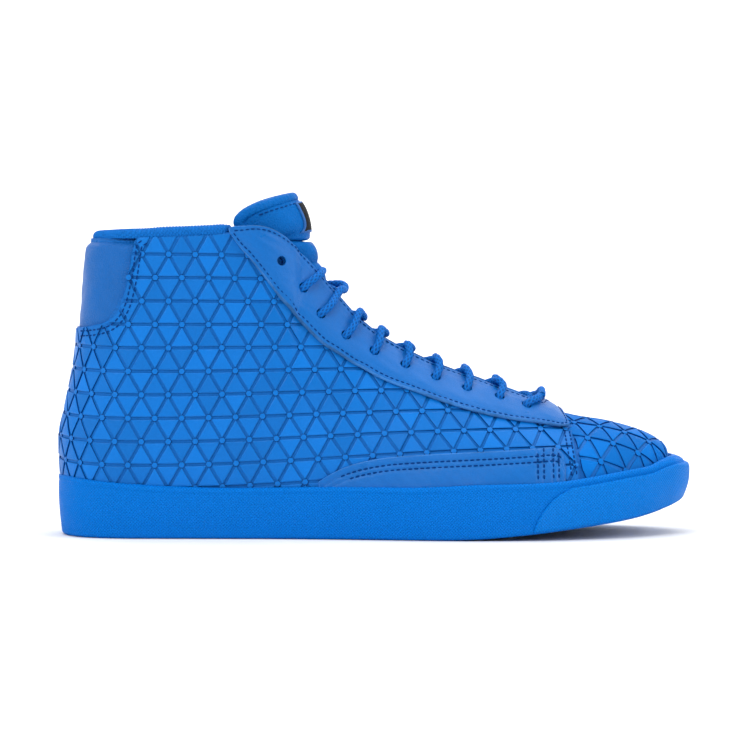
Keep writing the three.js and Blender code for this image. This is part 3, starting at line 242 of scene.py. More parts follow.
def f_of(x, z, s):
    z0 = feather(x); e = np.clip((z - z0) / (ridge(x) - z0), 0, 1)
    return s * np.arcsin(np.clip(np.maximum(1 - e ** exp_p(x), 0) ** (1 / exp_q(x)), 0, 1))
def unit(v): return v / np.maximum(np.linalg.norm(v, axis=-1, keepdims=True), 1e-9)
def grid_normals(G, out=None):
    n = unit(np.cross(np.gradient(G, axis=0), np.gradient(G, axis=1)))
    if out is None:
        c = np.stack([np.clip(G[..., 0], -116, 118), centre(G[..., 0]), np.minimum(G[..., 2], 60)], -1); out = G - c
    if (n * out).sum(-1).mean() < 0: n = -n
    return n
def on_b(x, z, s, d):
    x = np.asarray(x, float); z = np.asarray(z, float); f = f_of(x, z, s)
    e = 0.5; du = PB(x + e, f) - PB(x - e, f); dv = PB(x, f + .02) - PB(x, f - .02); n = unit(np.cross(du, dv)); P = PB(x, f)
    o = P - np.stack([np.clip(x, -116, 118), centre(x), feather(x) + 8], -1); n = np.where((n * o).sum(-1, keepdims=True) < 0, -n, n)
    return P + n * d, n

# ---------------------------------------------------------------- mesh making
def make(name, V, F, mat=None, attrs=None, smooth_shade=True):
    me = bpy.data.meshes.new(name); V = np.asarray(V, np.float64).reshape(-1, 3).copy(); V[:, 1] += SHIFT_Y; V *= 0.001
    if isinstance(F, np.ndarray):
        me.vertices.add(len(V)); me.vertices.foreach_set("co", V.ravel()); k = F.shape[1]
        me.loops.add(F.size); me.loops.foreach_set("vertex_index", F.ravel().astype(np.int32)); me.polygons.add(len(F))
        me.polygons.foreach_set("loop_start", np.arange(0, F.size, k, dtype=np.int32)); me.update(calc_edges=True)
    else: me.from_pydata(V.tolist(), [], F)
    me.validate(); me.polygons.foreach_set("use_smooth", [smooth_shade] * len(me.polygons))
    for k, v in (attrs or {}).items():
        a = me.attributes.new(k, "FLOAT", "POINT"); a.data.foreach_set("value", np.asarray(v, np.float32).ravel())
    o = bpy.data.objects.new(name, me); bpy.context.scene.collection.objects.link(o)
    if mat: me.materials.append(mat)
    return o
def sheet(name, O, I, mat, attrs=None, ring=False):
    """closed skin between an outer and an inner grid of points"""
    n, m = O.shape[:2]; idx = np.arange(n * m).reshape(n, m); J = idx + n * m
    def quads(A, flip):
        a, b, c, d = A[:-1, :-1], A[1:, :-1], A[1:, 1:], A[:-1, 1:]
        q = np.stack([a, b, c, d], -1).reshape(-1, 4); return q[:, ::-1] if flip else q
    if ring: idx = np.vstack([idx, idx[:1]]); J = np.vstack([J, J[:1]])
    F = [quads(idx, False), quads(J, True)]
    def wall(a, b, flip):
        q = np.stack([a[:-1], a[1:], b[1:], b[:-1]], -1); F.append(q[:, ::-1] if flip else q)
    wall(idx[:, 0], J[:, 0], True); wall(idx[:, -1], J[:, -1], False)
    if not ring: wall(idx[0], J[0], False); wall(idx[-1], J[-1], True)
    F = np.vstack(F); V = np.concatenate([O.reshape(-1, 3), I.reshape(-1, 3)])
    # turn faces outwards
    t = V[F]; vol = np.einsum("ij,ij->i", t[:, 0], np.cross(t[:, 1], t[:, 2])).sum() + np.einsum("ij,ij->i", t[:, 0], np.cross(t[:, 2], t[:, 3])).sum()
    if vol < 0: F = F[:, ::-1].copy()
    at = {k: np.concatenate([np.asarray(v).ravel(), np.asarray(v).ravel()]) for k, v in (attrs or {}).items()}
    return make(name, V, F, mat, at)
def panel(name, G, d_out, d_in, mat, attrs=None, bevel=0.0, N=None):
    """sheet on the surface grid G; the rim is rounded by bevel mm"""
    if N is None: N = grid_normals(G)
    d = np.broadcast_to(np.asarray(d_out, float), G.shape[:2]).copy()
    if bevel > 0:
        n, m = d.shape
        def dist(ax):
            L = np.linalg.norm(np.diff(G, axis=ax), axis=-1); z = np.zeros([1, m] if ax == 0 else [n, 1])
            c = np.concatenate([z, np.cumsum(L, ax)], ax); return np.minimum(c, np.take(c, [-1], ax) - c)
        e = np.minimum(dist(0), dist(1)); d -= bevel * (1 - np.sqrt(np.clip(1 - (1 - np.clip(e / (bevel * 1.3), 0, 1)) ** 2, 0, 1)))
    return sheet(name, G + N * d[..., None], G + N * np.broadcast_to(np.asarray(d_in, float), G.shape[:2])[..., None], mat, attrs)
def resample(P, step=None, n=None):
    P = np.asarray(P, float); s = np.concatenate([[0], np.cumsum(np.linalg.norm(np.diff(P, axis=0), axis=-1))])
    n = n or max(int(s[-1] / step) + 1, 2); t = np.linspace(0, s[-1], n)
    return np.stack([pchip(s, P[:, k])(t) for k in range(P.shape[1])], -1)
def sweep(name, L, mat, closed=False, attrs=None, caps=True):
    n, m = L.shape[:2]; idx = np.arange(n * m).reshape(n, m); A = np.hstack([idx, idx[:, :1]])
    if closed: A = np.vstack([A, A[:1]])
    F = np.stack([A[:-1, :-1], A[1:, :-1], A[1:, 1:], A[:-1, 1:]], -1).reshape(-1, 4)
    V = L.reshape(-1, 3); t = V[F]
    vol = np.einsum("ij,ij->i", t[:, 0], np.cross(t[:, 1], t[:, 2])).sum() + np.einsum("ij,ij->i", t[:, 0], np.cross(t[:, 2], t[:, 3])).sum()
    cap = not closed and caps
    F = F.tolist()
    if cap: F += [idx[0][::-1].tolist(), idx[-1].tolist()]
    if vol < 0: F = [f[::-1] for f in F]
    return make(name, V, F, mat, attrs)
def tube_loops(P, r, k=10, up=(0.3, 0.2, 1)):
    T = unit(np.gradient(P, axis=0)); u = np.array(up, float); out = []
    r = np.broadcast_to(r, (len(P),)); w = np.arange(k) * 2 * np.pi / k
    for p, t, rr in zip(P, T, r):
        u = u - t * u.dot(t); u /= np.linalg.norm(u); b = np.cross(t, u)
        out.append(p + rr * (np.cos(w)[:, None] * u + np.sin(w)[:, None] * b))
    return np.array(out)
def frames(P, up=(0.3, 0.2, 1)):
    T = unit(np.gradient(P, axis=0)); u = np.array(up, float); U = []
    for t in T: u = u - t * u.dot(t); u /= np.linalg.norm(u); U.append(u.copy())
    U = np.array(U); return T, U, np.cross(T, U)
def stitches(name, lines, mat, pitch=2.7, length=2.0, r=0.32, sink=0.1, gap_first=0.5):
    """rows of thread: each line is (points, normals) on a surface"""
    V, F, base = [], [], 0
    k = 6; w = np.arange(k) * 2 * np.pi / k
    prof = [(-.5, .0), (-.46, .7), (-.3, 1), (.0, 1.06), (.3, 1), (.46, .7), (.5, .0)]
    for P, N in lines:
        P = np.asarray(P, float); s = np.concatenate([[0], np.cumsum(np.linalg.norm(np.diff(P, axis=0), axis=-1))])
        if s[-1] < pitch: continue
        for c in np.arange(gap_first * pitch, s[-1], pitch):
            pt = np.array([np.interp(c, s, P[:, j]) for j in range(3)]); a = np.array([np.interp(max(c - .6, 0), s, P[:, j]) for j in range(3)]); b = np.array([np.interp(min(c + .6, s[-1]), s, P[:, j]) for j in range(3)])
            n = unit(np.array([np.interp(c, s, N[:, j]) for j in range(3)])); t = unit(b - a); n = unit(n - t * n.dot(t)); bb = np.cross(t, n)
            for q, rr in prof:
                drop = -abs(q * 2) ** 3 * 0.35
                o = pt + t * q * length + n * (r * 0.55 - sink + drop)
                V.append(o + (max(rr, .12) * r) * (np.cos(w)[:, None] * n * 0.8 + np.sin(w)[:, None] * bb))
            for i in range(len(prof) - 1):
                for j in range(k): F.append([base + i*k + j, base + (i+1)*k + j, base + (i+1)*k + (j+1) % k, base + i*k + (j+1) % k])
            F.append([base + j for j in range(k)]); F.append([base + (len(prof)-1)*k + j for j in reversed(range(k))])
            base += k * len(prof)
    if not V: return None
    o = make(name, np.concatenate(V), F, mat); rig.ride(o, "shoe"); return o
def line_on(x, z, s, d):
    """points and normals along a side-view line on the upper, d above the skin"""
    Q = resample(np.stack([x, z], -1), step=1.0); P, N = on_b(Q[:, 0], Q[:, 1], s, d); return P, N

# ---------------------------------------------------------------- materials
def material(name, base, dark=None, rough=0.45, grain=0.0, grain_scale=400, bump=0.3, mottling=0.08, tone=0.0, groove=None, groove_at="groove", sheen=0.0, spec=0.5, coat=0.0, weave=None, weave_bump=0.4, weave_dark=0.28, edge=0.0, rough_var=0.1, sss=0.0, light=None):
    m = bpy.data.materials.new(name); m.use_nodes = True; nt = m.node_tree; N, L = nt.nodes, nt.links; b = N["Principled BSDF"]
    tc = N.new("ShaderNodeTexCoord"); co = tc.outputs["Object"]
    b.inputs["Roughness"].default_value = rough; b.inputs["Specular IOR Level"].default_value = spec
    if sheen: b.inputs["Sheen Weight"].default_value = sheen; b.inputs["Sheen Roughness"].default_value = 0.4; b.inputs["Sheen Tint"].default_value = (*[min(1, c * 1.3 + .15) for c in base], 1)
    if coat: b.inputs["Coat Weight"].default_value = coat; b.inputs["Coat Roughness"].default_value = 0.22
    def noise(scale, detail=4, rough_=0.55, vec=None):
        n = N.new("ShaderNodeTexNoise"); n.inputs["Scale"].default_value = scale; n.inputs["Detail"].default_value = detail; n.inputs["Roughness"].default_value = rough_; L.new(vec or co, n.inputs["Vector"]); return n.outputs["Fac"]
    def ramp(v, lo, hi, a, c):
        r = N.new("ShaderNodeMapRange"); r.inputs["From Min"].default_value = lo; r.inputs["From Max"].default_value = hi; r.inputs["To Min"].default_value = a; r.inputs["To Max"].default_value = c; L.new(v, r.inputs["Value"]); return r.outputs["Result"]
    def mix(fac, a, c):
        x = N.new("ShaderNodeMix"); x.data_type = "RGBA"
        if hasattr(fac, "links"): L.new(fac, x.inputs["Factor"])
        else: x.inputs["Factor"].default_value = fac
        for sock, val in ((x.inputs["A"], a), (x.inputs["B"], c)):
            if hasattr(val, "links"): L.new(val, sock)
            else: sock.default_value = (*val, 1)
        return x.outputs["Result"]
    def math_(op, a, c=None):
        x = N.new("ShaderNodeMath"); x.operation = op
        for sock, val in zip(x.inputs, (a, c)):
            if val is None: continue
            if hasattr(val, "links"): L.new(val, sock)
            else: sock.default_value = val
        return x.outputs[0]
    dk = dark or tuple(c * 0.55 for c in base); lt = light or tuple(min(1, c * 1.25) for c in base)
    n1 = noise(45, 3); col = mix(ramp(n1, 0.3, 0.7, 0.5 - mottling * 3, 0.5 + mottling * 3), dk, lt)
    mid = mix(1 - min(mottling * 6, 0.9), col, base)
    n2 = noise(900, 2); mid = mix(ramp(n2, 0.35, 0.65, 0.0, 0.14), mid, dk)
    if tone:
        at = N.new("ShaderNodeAttribute"); at.attribute_name = "tone"
        mid = mix(ramp(at.outputs["Fac"], 0, 1, 0, tone), mid, lt); mid = mix(ramp(at.outputs["Fac"], 0, 1, tone, 0), mid, dk)
    # darkened towards the groove colour where the groove attribute is high: painted shade in recesses
    if groove:
        at = N.new("ShaderNodeAttribute"); at.attribute_name = groove_at; mid = mix(at.outputs["Fac"], mid, groove)
    if edge:
        at = N.new("ShaderNodeAttribute"); at.attribute_name = "rim"; mid = mix(ramp(at.outputs["Fac"], 0, 1, 0, edge), mid, lt)
    hgt = []
    if grain:
        v = N.new("ShaderNodeTexVoronoi"); v.feature = "DISTANCE_TO_EDGE"; v.inputs["Scale"].default_value = grain_scale; L.new(co, v.inputs["Vector"])
        hgt.append((ramp(v.outputs["Distance"], 0, 0.25, 0, 1), grain)); hgt.append((noise(grain_scale * 2.2, 3), grain * 0.6))
    else: hgt.append((noise(1500, 3), 0.3))
    if weave:
        kind, sc = weave
        sep = N.new("ShaderNodeSeparateXYZ"); L.new(co, sep.inputs[0])
        if kind == "cross_arc":   # diagonal crosshatch that follows a band round its corners
            aa = N.new("ShaderNodeAttribute"); aa.attribute_name = "arc"; s1 = math_("ADD", aa.outputs["Fac"], sep.outputs[2]); s2 = math_("SUBTRACT", aa.outputs["Fac"], sep.outputs[2])
            w1 = math_("SINE", math_("MULTIPLY", s1, sc)); w2 = math_("SINE", math_("MULTIPLY", s2, sc)); hh = math_("MAXIMUM", w1, w2)
        elif kind == "cross":   # diagonal crosshatch over x + z and x - z
            s1 = math_("ADD", math_("ADD", sep.outputs[0], sep.outputs[2]), sep.outputs[1]); s2 = math_("SUBTRACT", math_("ADD", sep.outputs[0], sep.outputs[1]), sep.outputs[2])
            w1 = math_("SINE", math_("MULTIPLY", s1, sc)); w2 = math_("SINE", math_("MULTIPLY", s2, sc)); hh = math_("MAXIMUM", w1, w2)
        elif kind == "plain":
            w1 = math_("SINE", math_("MULTIPLY", math_("ADD", sep.outputs[0], sep.outputs[1]), sc)); w2 = math_("SINE", math_("MULTIPLY", sep.outputs[2], sc)); hh = math_("MULTIPLY", w1, w2)
        else:                 # knit: columns of loops
            w1 = math_("SINE", math_("MULTIPLY", math_("ADD", sep.outputs[0], sep.outputs[1]), sc)); w2 = math_("SINE", math_("ADD", math_("MULTIPLY", sep.outputs[2], sc * 0.8), math_("MULTIPLY", w1, 1.2))); hh = math_("ADD", w1, w2)
        # the weave's low parts are darkened towards the dark blue: painted shade in its recesses
        hgt.append((hh, weave_bump)); mid = mix(ramp(hh, -1, 1, weave_dark, 0.0), mid, dk)
    L.new(mid, b.inputs["Base Color"])
    tot = None
    for v, k in hgt:
        t = math_("MULTIPLY", v, k); tot = t if tot is None else math_("ADD", tot, t)
    bp = N.new("ShaderNodeBump"); bp.inputs["Strength"].default_value = bump; bp.inputs["Distance"].default_value = 0.0004; L.new(tot, bp.inputs["Height"]); L.new(bp.outputs[0], b.inputs["Normal"])
    rv = ramp(noise(60, 3), 0.3, 0.7, max(rough - rough_var, 0.05), min(rough + rough_var, 1)); L.new(rv, b.inputs["Roughness"])
    return m
BLUE = (0.0015, 0.163, 0.585)
M = dict(
    emboss=material("embossed leather", BLUE, rough=0.42, grain=0.35, grain_scale=1100, bump=0.25, mottling=0.05, tone=0.30, spec=0.15),
    # the vamp's copy of the embossed leather, darker and less glossy: painted shade that offsets the light falling on
    # the upward-facing vamp
    emboss_v=material("embossed toe leather", (0.0008, 0.150, 0.55), rough=0.5, grain=0.35, grain_scale=1100, bump=0.25, mottling=0.05, tone=0.28, spec=0.05),
    # plate side: a dark blue on the plates' sunken sides and bottoms, painted shade in the grooves between the plates
    wall=material("plate side", (0.0004, 0.045, 0.22), rough=0.6, spec=0.15, mottling=0.03, bump=0.1),
    # groove floor: a little darker than the plates' blue, painted shade in the narrow grooves
    base=material("pressed groove leather", (0.001, 0.142, 0.53), spec=0.15, rough=0.5, grain=0.4, grain_scale=1000, bump=0.3, mottling=0.05),
    smooth=material("smooth leather", (0.001, 0.136, 0.49), rough=0.36, grain=0.45, grain_scale=1500, bump=0.28, mottling=0.05, spec=0.24, edge=0.0),
    grained=material("grained leather", (0.001, 0.117, 0.435), rough=0.4, grain=0.8, grain_scale=900, bump=0.4, mottling=0.06, spec=0.2),
    # raw cut edge: a paler blue, partly the cut fibres' own colour and partly a painted highlight along the edges
    edge=material("raw cut edge", (0.045, 0.215, 0.60), rough=0.9, grain=0.9, grain_scale=1800, bump=0.8, mottling=0.3, spec=0.2),
    tongue=material("tongue leather", (0.0006, 0.130, 0.475), rough=0.45, grain=0.9, grain_scale=800, bump=0.5, mottling=0.06, spec=0.07),
    # the rubbers' crosshatch is darkened in its grooves as painted shade
    rubber=material("sidewall rubber", (0.0004, 0.182, 0.695), rough=0.5, bump=0.6, mottling=0.03, weave=("cross_arc", 4000), weave_bump=1.0, weave_dark=0.45, spec=0.05),
    rubber_s=material("toe rubber", (0.0006, 0.202, 0.735), rough=0.46, bump=0.6, mottling=0.03, weave=("cross_arc", 4000), weave_bump=1.0, weave_dark=0.5, spec=0.07),
    outsole=material("outsole rubber", (0.006, 0.125, 0.46), rough=0.6, bump=0.3, mottling=0.06, grain=0.3, grain_scale=700),
    lining=material("lining knit", (0.002, 0.13, 0.48), rough=0.85, bump=0.6, mottling=0.06, weave=("knit", 4200), weave_bump=0.6, sheen=0.3, spec=0.25),
    sock=material("sockliner fabric", (0.008, 0.115, 0.42), rough=0.9, bump=0.6, mottling=0.08, weave=("plain", 3800), weave_bump=0.6, sheen=0.3, spec=0.2),
    webbing=material("webbing", (0.0015, 0.145, 0.54), rough=0.72, bump=0.5, mottling=0.05, weave=("cross", 3400), weave_bump=0.9, weave_dark=0.45, spec=0.12),
    # lace: its groove colour is painted shade between the braid's strands
    lace=material("lace braid", (0.001, 0.165, 0.62), rough=0.6, bump=0.5, mottling=0.06, grain=0.5, grain_scale=2600, spec=0.15, groove=(0.0003, 0.038, 0.19), groove_at="groove"),
    # thread: dark navy, darker than the mid-blue thread itself, painted shade of the stitch holes
    thread=material("thread", (0.0003, 0.04, 0.20), spec=0.08, rough=0.7, bump=0.3, mottling=0.04, grain=0.3, grain_scale=3500),
    label=material("label tape", (0.006, 0.007, 0.012), spec=0.1, rough=0.6, bump=0.5, mottling=0.05, weave=("plain", 6000), weave_bump=0.6),
    label_edge=material("label border", (0.003, 0.13, 0.46), rough=0.6, bump=0.5, mottling=0.05, weave=("plain", 6000), weave_bump=0.6),
    film=material("aglet film", (0.02, 0.2, 0.62), rough=0.22, bump=0.06, mottling=0.03, coat=0.4),
    foam=material("foam", (0.35, 0.42, 0.5), rough=0.9, bump=0.6, grain=0.8, grain_scale=1500, mottling=0.08),
    board=material("board", (0.42, 0.36, 0.27), rough=0.85, bump=0.4, grain=0.5, grain_scale=900, mottling=0.1),
    stiff=material("stiffener", (0.55, 0.55, 0.52), rough=0.7, bump=0.3, grain=0.4, grain_scale=1200, mottling=0.06),
)
SLOT = {"emboss": "embossed_leather", "smooth": "smooth_leather", "grained": "grained_leather", "tongue": "tongue_leather", "rubber": "sole_rubber", "rubber_s": "sole_rubber", "outsole": "outsole_rubber", "lining": "lining", "sock": "sock_fabric", "webbing": "webbing", "lace": "lace_braid", "label": "label_tape", "film": "aglet_film", "thread": "smooth_leather"}
def done(o, body, slot, *nodes):
    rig.ride(o, body)
    if nodes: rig.replaces(o, *nodes)
    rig.slot(o, SLOT[slot]); return o
def face_out(o):
    import bmesh
    bm = bmesh.new(); bm.from_mesh(o.data); bmesh.ops.recalc_face_normals(bm, faces=bm.faces); bm.to_mesh(o.data); bm.free(); return o
# closed sheet with a fine outer face and a coarse inner one: outer, cut edge and inner materials
def leather(name, O, I, mats, k=8, attrs=None, rim=0.0):
    n, m = O.shape[:2]; assert (n - 1) % k == 0 and (m - 1) % k == 0, (name, n, m)
    idx = np.arange(n * m).reshape(n, m); Ic = I[::k, ::k]; a, b = Ic.shape[:2]; J = np.arange(a * b).reshape(a, b) + n * m
    q = np.stack([idx[:-1, :-1], idx[1:, :-1], idx[1:, 1:], idx[:-1, 1:]], -1).reshape(-1, 4); F = q.tolist(); mi = [0] * len(F)
    # outer faces within rim mm of the edge take the cut-edge material: cut-edge colour and a painted highlight along
    # the rounded edge
    if rim: e_ = rim_dist(O); e_ = np.minimum(np.minimum(e_[:-1, :-1], e_[1:, 1:]), np.minimum(e_[1:, :-1], e_[:-1, 1:])).ravel(); mi = np.where(e_ < rim, 1, 0).tolist()
    q = np.stack([J[:-1, :-1], J[:-1, 1:], J[1:, 1:], J[1:, :-1]], -1).reshape(-1, 4).tolist(); F += q; mi += [2] * len(q)
    def wall(fine, coarse, flip):
        for c in range(len(coarse) - 1):
            f = list(fine[c * k:(c + 1) * k + 1][::-1]) + [coarse[c], coarse[c + 1]]
            F.append([int(v) for v in (f if flip else f[::-1])]); mi.append(1)
    wall(idx[:, 0], J[:, 0], False); wall(idx[:, -1], J[:, -1], True); wall(idx[0], J[0], True); wall(idx[-1], J[-1], False)
    V = np.concatenate([O.reshape(-1, 3), Ic.reshape(-1, 3)])
    c = O.reshape(-1, 3).mean(0); qq = np.array(F[:(n - 1) * (m - 1)]); t = V[qq]; nn = np.cross(t[:, 1] - t[:, 0], t[:, 2] - t[:, 0])
    if (nn * (O[:-1, :-1].reshape(-1, 3) - I[:-1, :-1].reshape(-1, 3))).sum() < 0: F = [f[::-1] for f in F]
    o = make(name, V, F, None, {kk: np.concatenate([np.asarray(v).ravel(), np.asarray(v)[::k, ::k].ravel()]) for kk, v in (attrs or {}).items()})
    for x in mats: o.data.materials.append(x)
    o.data.polygons.foreach_set("material_index", mi[:len(o.data.polygons)])
    sm = [x != 1 for x in mi][:len(o.data.polygons)]; o.data.polygons.foreach_set("use_smooth", sm)
    return face_out(o)
def rim_dist(G):
    def d(ax):
        L = np.linalg.norm(np.diff(G, axis=ax), axis=-1); z = np.zeros([1, G.shape[1]] if ax == 0 else [G.shape[0], 1])
        c = np.concatenate([z, np.cumsum(L, ax)], ax); return np.minimum(c, np.take(c, [-1], ax) - c)
    return np.minimum(d(0), d(1))
def bevelled(G, d, b):
    e = rim_dist(G); return d - b * (1 - np.sqrt(np.clip(1 - (1 - np.clip(e / (b * 1.3), 0, 1)) ** 2, 0, 1)))
def fine_cols(A, n):
    """more columns along axis 0"""
    s = np.arange(len(A)); t = np.linspace(0, len(A) - 1, n); B = A.reshape(len(A), -1)
    return np.stack([pchip(s, B[:, j])(t) for j in range(B.shape[1])], -1).reshape(n, *A.shape[1:])
def cut_holes(o, cyl):
    own = list(o.data.materials)
    md = o.modifiers.new("holes", "BOOLEAN"); md.operation = "DIFFERENCE"; md.object = cyl
    try: md.solver = "MANIFOLD"
    except TypeError: md.solver = "EXACT"
    dg = bpy.context.evaluated_depsgraph_get(); me = bpy.data.meshes.new_from_object(o.evaluated_get(dg)); o.modifiers.clear()
    if len(me.polygons) < 0.5 * len(o.data.polygons): print("hole cut failed on", o.name); return
    # the solver merges repeated slots and leaves cut faces without one: cut faces get the cut edge
    got = list(me.materials); lut = [own.index(m) if m is not None and m in own else 1 for m in got]
    mi = np.zeros(len(me.polygons), int); me.polygons.foreach_get("material_index", mi); bare = sum(1 for i in mi if i >= len(got) or got[i] is None)
    mi = [lut[i] if i < len(lut) else 1 for i in mi]; me.materials.clear()
    for m in own: me.materials.append(m)
    me.polygons.foreach_set("material_index", mi)
    print("holes", o.name, len(o.data.polygons), "->", len(me.polygons), "faces that had no material", bare)
    o.data = me
def cylinders(name, pts, r, k=28):
    V, F, b = [], [], 0; w = np.arange(k) * 2 * np.pi / k
    for (p, n), rr in zip(pts, r):
        u = unit(np.cross(n, [0, 1, 0.3])); v = np.cross(n, u); ring = rr * (np.cos(w)[:, None] * u + np.sin(w)[:, None] * v)
        V += [p + ring - n * 6, p + ring + n * 6]
        F += [[b + i, b + (i + 1) % k, b + k + (i + 1) % k, b + k + i] for i in range(k)] + [[b + i for i in reversed(range(k))], [b + k + i for i in range(k)]]; b += 2 * k
    return face_out(make(name, np.concatenate(V), F))

COLLAR = np.array([[-141, 142.2], [-132.2, 142.4], [-112.8, 142.9], [-94.4, 143.5], [-79.3, 144.1], [-69.2, 144.8]])
TAB_EDGE = np.array([[-143, 99.6], [-140.7, 99.9], [-132.9, 100.8], [-126.7, 102.6], [-122.3, 106.8], [-119.8, 111.9], [-117.6, 120.3], [-116.3, 127.1], [-115.1, 135.5], [-113.8, 140.6], [-111.3, 142.8]])
THROAT = np.array([[-69, 146.6], [-61.9, 147.5], [-55.4, 147.7], [-49.4, 146.2], [-44.5, 143.3], [-39.6, 138.7], [-35, 133.4], [-30.6, 128.6], [-26.4, 123.5], [-22.6, 118.6], [-19.3, 115.0], [-15.2, 110.0], [-10.3, 104.6], [-3.7, 99.0], [2.4, 94.4], [11.2, 89.2], [18.8, 85.3], [24.3, 82.6], [32.6, 79.2], [40.9, 76.2], [50.2, 73.0], [59.7, 69.6], [69.2, 66.2], [76.5, 63.4]])
STAY_REAR = np.array([[-69, 144.7], [-64.2, 137.6], [-59.7, 132.6], [-55.2, 126.8], [-50.7, 120.8], [-46.2, 114.5], [-42.6, 110.2], [-39, 106], [-35.5, 101.8], [-31.5, 97.5], [-28, 94], [-24.6, 91.0], [-19.2, 87.7], [-11.1, 82.3], [-2.9, 78.0], [8.0, 72.6], [16.5, 69.6], [24.3, 66.7], [33, 63.6], [42.6, 60.6], [53, 57.8], [63.8, 55.6], [74.6, 54.1], [83, 52.8]])
EYELETS = np.array([[-44.9, 130.8], [-35.0, 117.6], [-26.4, 105.3], [-14.6, 94.9], [-1.0, 87.0], [13.8, 80.4], [28.2, 74.4], [43.3, 69.2], [58.7, 65.1], [71.3, 61.0]])
GUARD = np.array([[-26.5, 27.2], [-20, 31.2], [-13, 34.4], [-4, 36.9], [8, 38.8], [22, 39.8], [38, 40.6], [52, 41.2], [64, 41.8], [76, 42.4], [83, 42.8], [86.4, 42.0], [88.2, 38.8], [89.4, 34.5]])
collar_z = pchip(*COLLAR.T); throat_z = pchip(*THROAT.T); tab_z = pchip(TAB_EDGE[:, 0], TAB_EDGE[:, 1] - 0.2); guard_z = pchip(*GUARD.T)
bottom_z = lambda x: feather(x) + 0.4
q_top = lambda x: np.where(x < -111.3, tab_z(x), np.where(x < -69.2, collar_z(x) - 0.3, throat_z(x) - 2.2))
front_z = pchip([76, 82, 88, 93.5], [60.8, 56.6, 53.6, 51])

# ---------------------------------------------------------------- embossed leather
# side-view coordinates with the heel turn unrolled: (X, Z) -> turn parameter
ZT = np.linspace(10, 150, 71); AT = np.linspace(1, 0, 61)
_g = PA(np.broadcast_to(AT, (71, 61)), np.broadcast_to(ZT[:, None], (71, 61)))
ARC = np.concatenate([np.zeros((71, 1)), np.cumsum(np.linalg.norm(np.diff(_g, axis=1), axis=-1), 1)], 1)
def unroll_a(X, Z):
    X = np.asarray(X, float); Z = np.asarray(Z, float); x1 = heel_back(Z) + 34; d = x1 - X; a = (X - heel_back(Z)) / 34
    i = np.clip((Z - 10) / 2, 0, 69.999).astype(int); out = np.array(a, float)
    for k in np.ndindex(out.shape):
        if d[k] > 0:
            r = lerp(ARC[i[k]], ARC[i[k] + 1], np.clip((Z[k] - ZT[i[k]]) / 2, 0, 1)); out[k] = np.interp(d[k], r, AT)
    return out
def na(a, z, s):
    a = np.where(np.abs(a) < 0.02, 0.02, a) * s
    return PA(a, z), unit(np.cross(PA(a + 0.02, z) - PA(a - 0.02, z), PA(a, z + 0.6) - PA(a, z - 0.6)))
def skin(X, Z, s, d=0.0):
    a = unroll_a(X, Z); P, N = na(a, Z, s); o = P - np.stack([np.clip(P[..., 0], -116, 118), centre(P[..., 0]), P[..., 2]], -1)
    N = np.where((N * o).sum(-1, keepdims=True) < 0, -N, N); return P + N * np.asarray(d)[..., None], N
CR = [12.945, 1.2753, -9.9251, 0.29, -1.5872, 0.0014, -0.1813, -0.7081]; CH = [14.7119, 14.6713, 1.1767, -0.2561, 2.2332, -0.0211, 0.1588, 1.0505]
def RH(X, Z):
    x, z = X / 100, Z / 100; T = [1 + 0 * x, x, z, x*x, x*z, z*z, x**3, x*x*z]
    return sum(c * t for c, t in zip(CR, T)), sum(c * t for c, t in zip(CH, T))
def inv_RH(R, Hh):
    X = np.full(np.shape(R), -30.0); Z = np.full(np.shape(R), 75.0)
    for _ in range(30):
        r, h = RH(X, Z); r1, h1 = RH(X + .5, Z); r2, h2 = RH(X, Z + .5)
        a, b, c, d = (r1 - r) / .5, (r2 - r) / .5, (h1 - h) / .5, (h2 - h) / .5; det = a * d - b * c; er, eh = R - r, Hh - h
        X = X + np.clip((d * er - b * eh) / det, -20, 20); Z = Z + np.clip((a * eh - c * er) / det, -20, 20)
    return X, Z
def clip_poly(P, planes):
    for a, b, c in planes:                       # keep a u + b v >= c
        if len(P) < 3: return P
        Q = []; val = P @ np.array([a, b]) - c
        for i in range(len(P)):
            j = (i + 1) % len(P)
            if val[i] >= 0: Q.append(P[i])
            if (val[i] >= 0) != (val[j] >= 0): t = val[i] / (val[i] - val[j]); Q.append(P[i] + t * (P[j] - P[i]))
        P = np.array(Q).reshape(-1, 2)
    return P
def poly_area(P): return 0.5 * abs((P[:, 0] * np.roll(P[:, 1], -1) - P[:, 1] * np.roll(P[:, 0], -1)).sum())
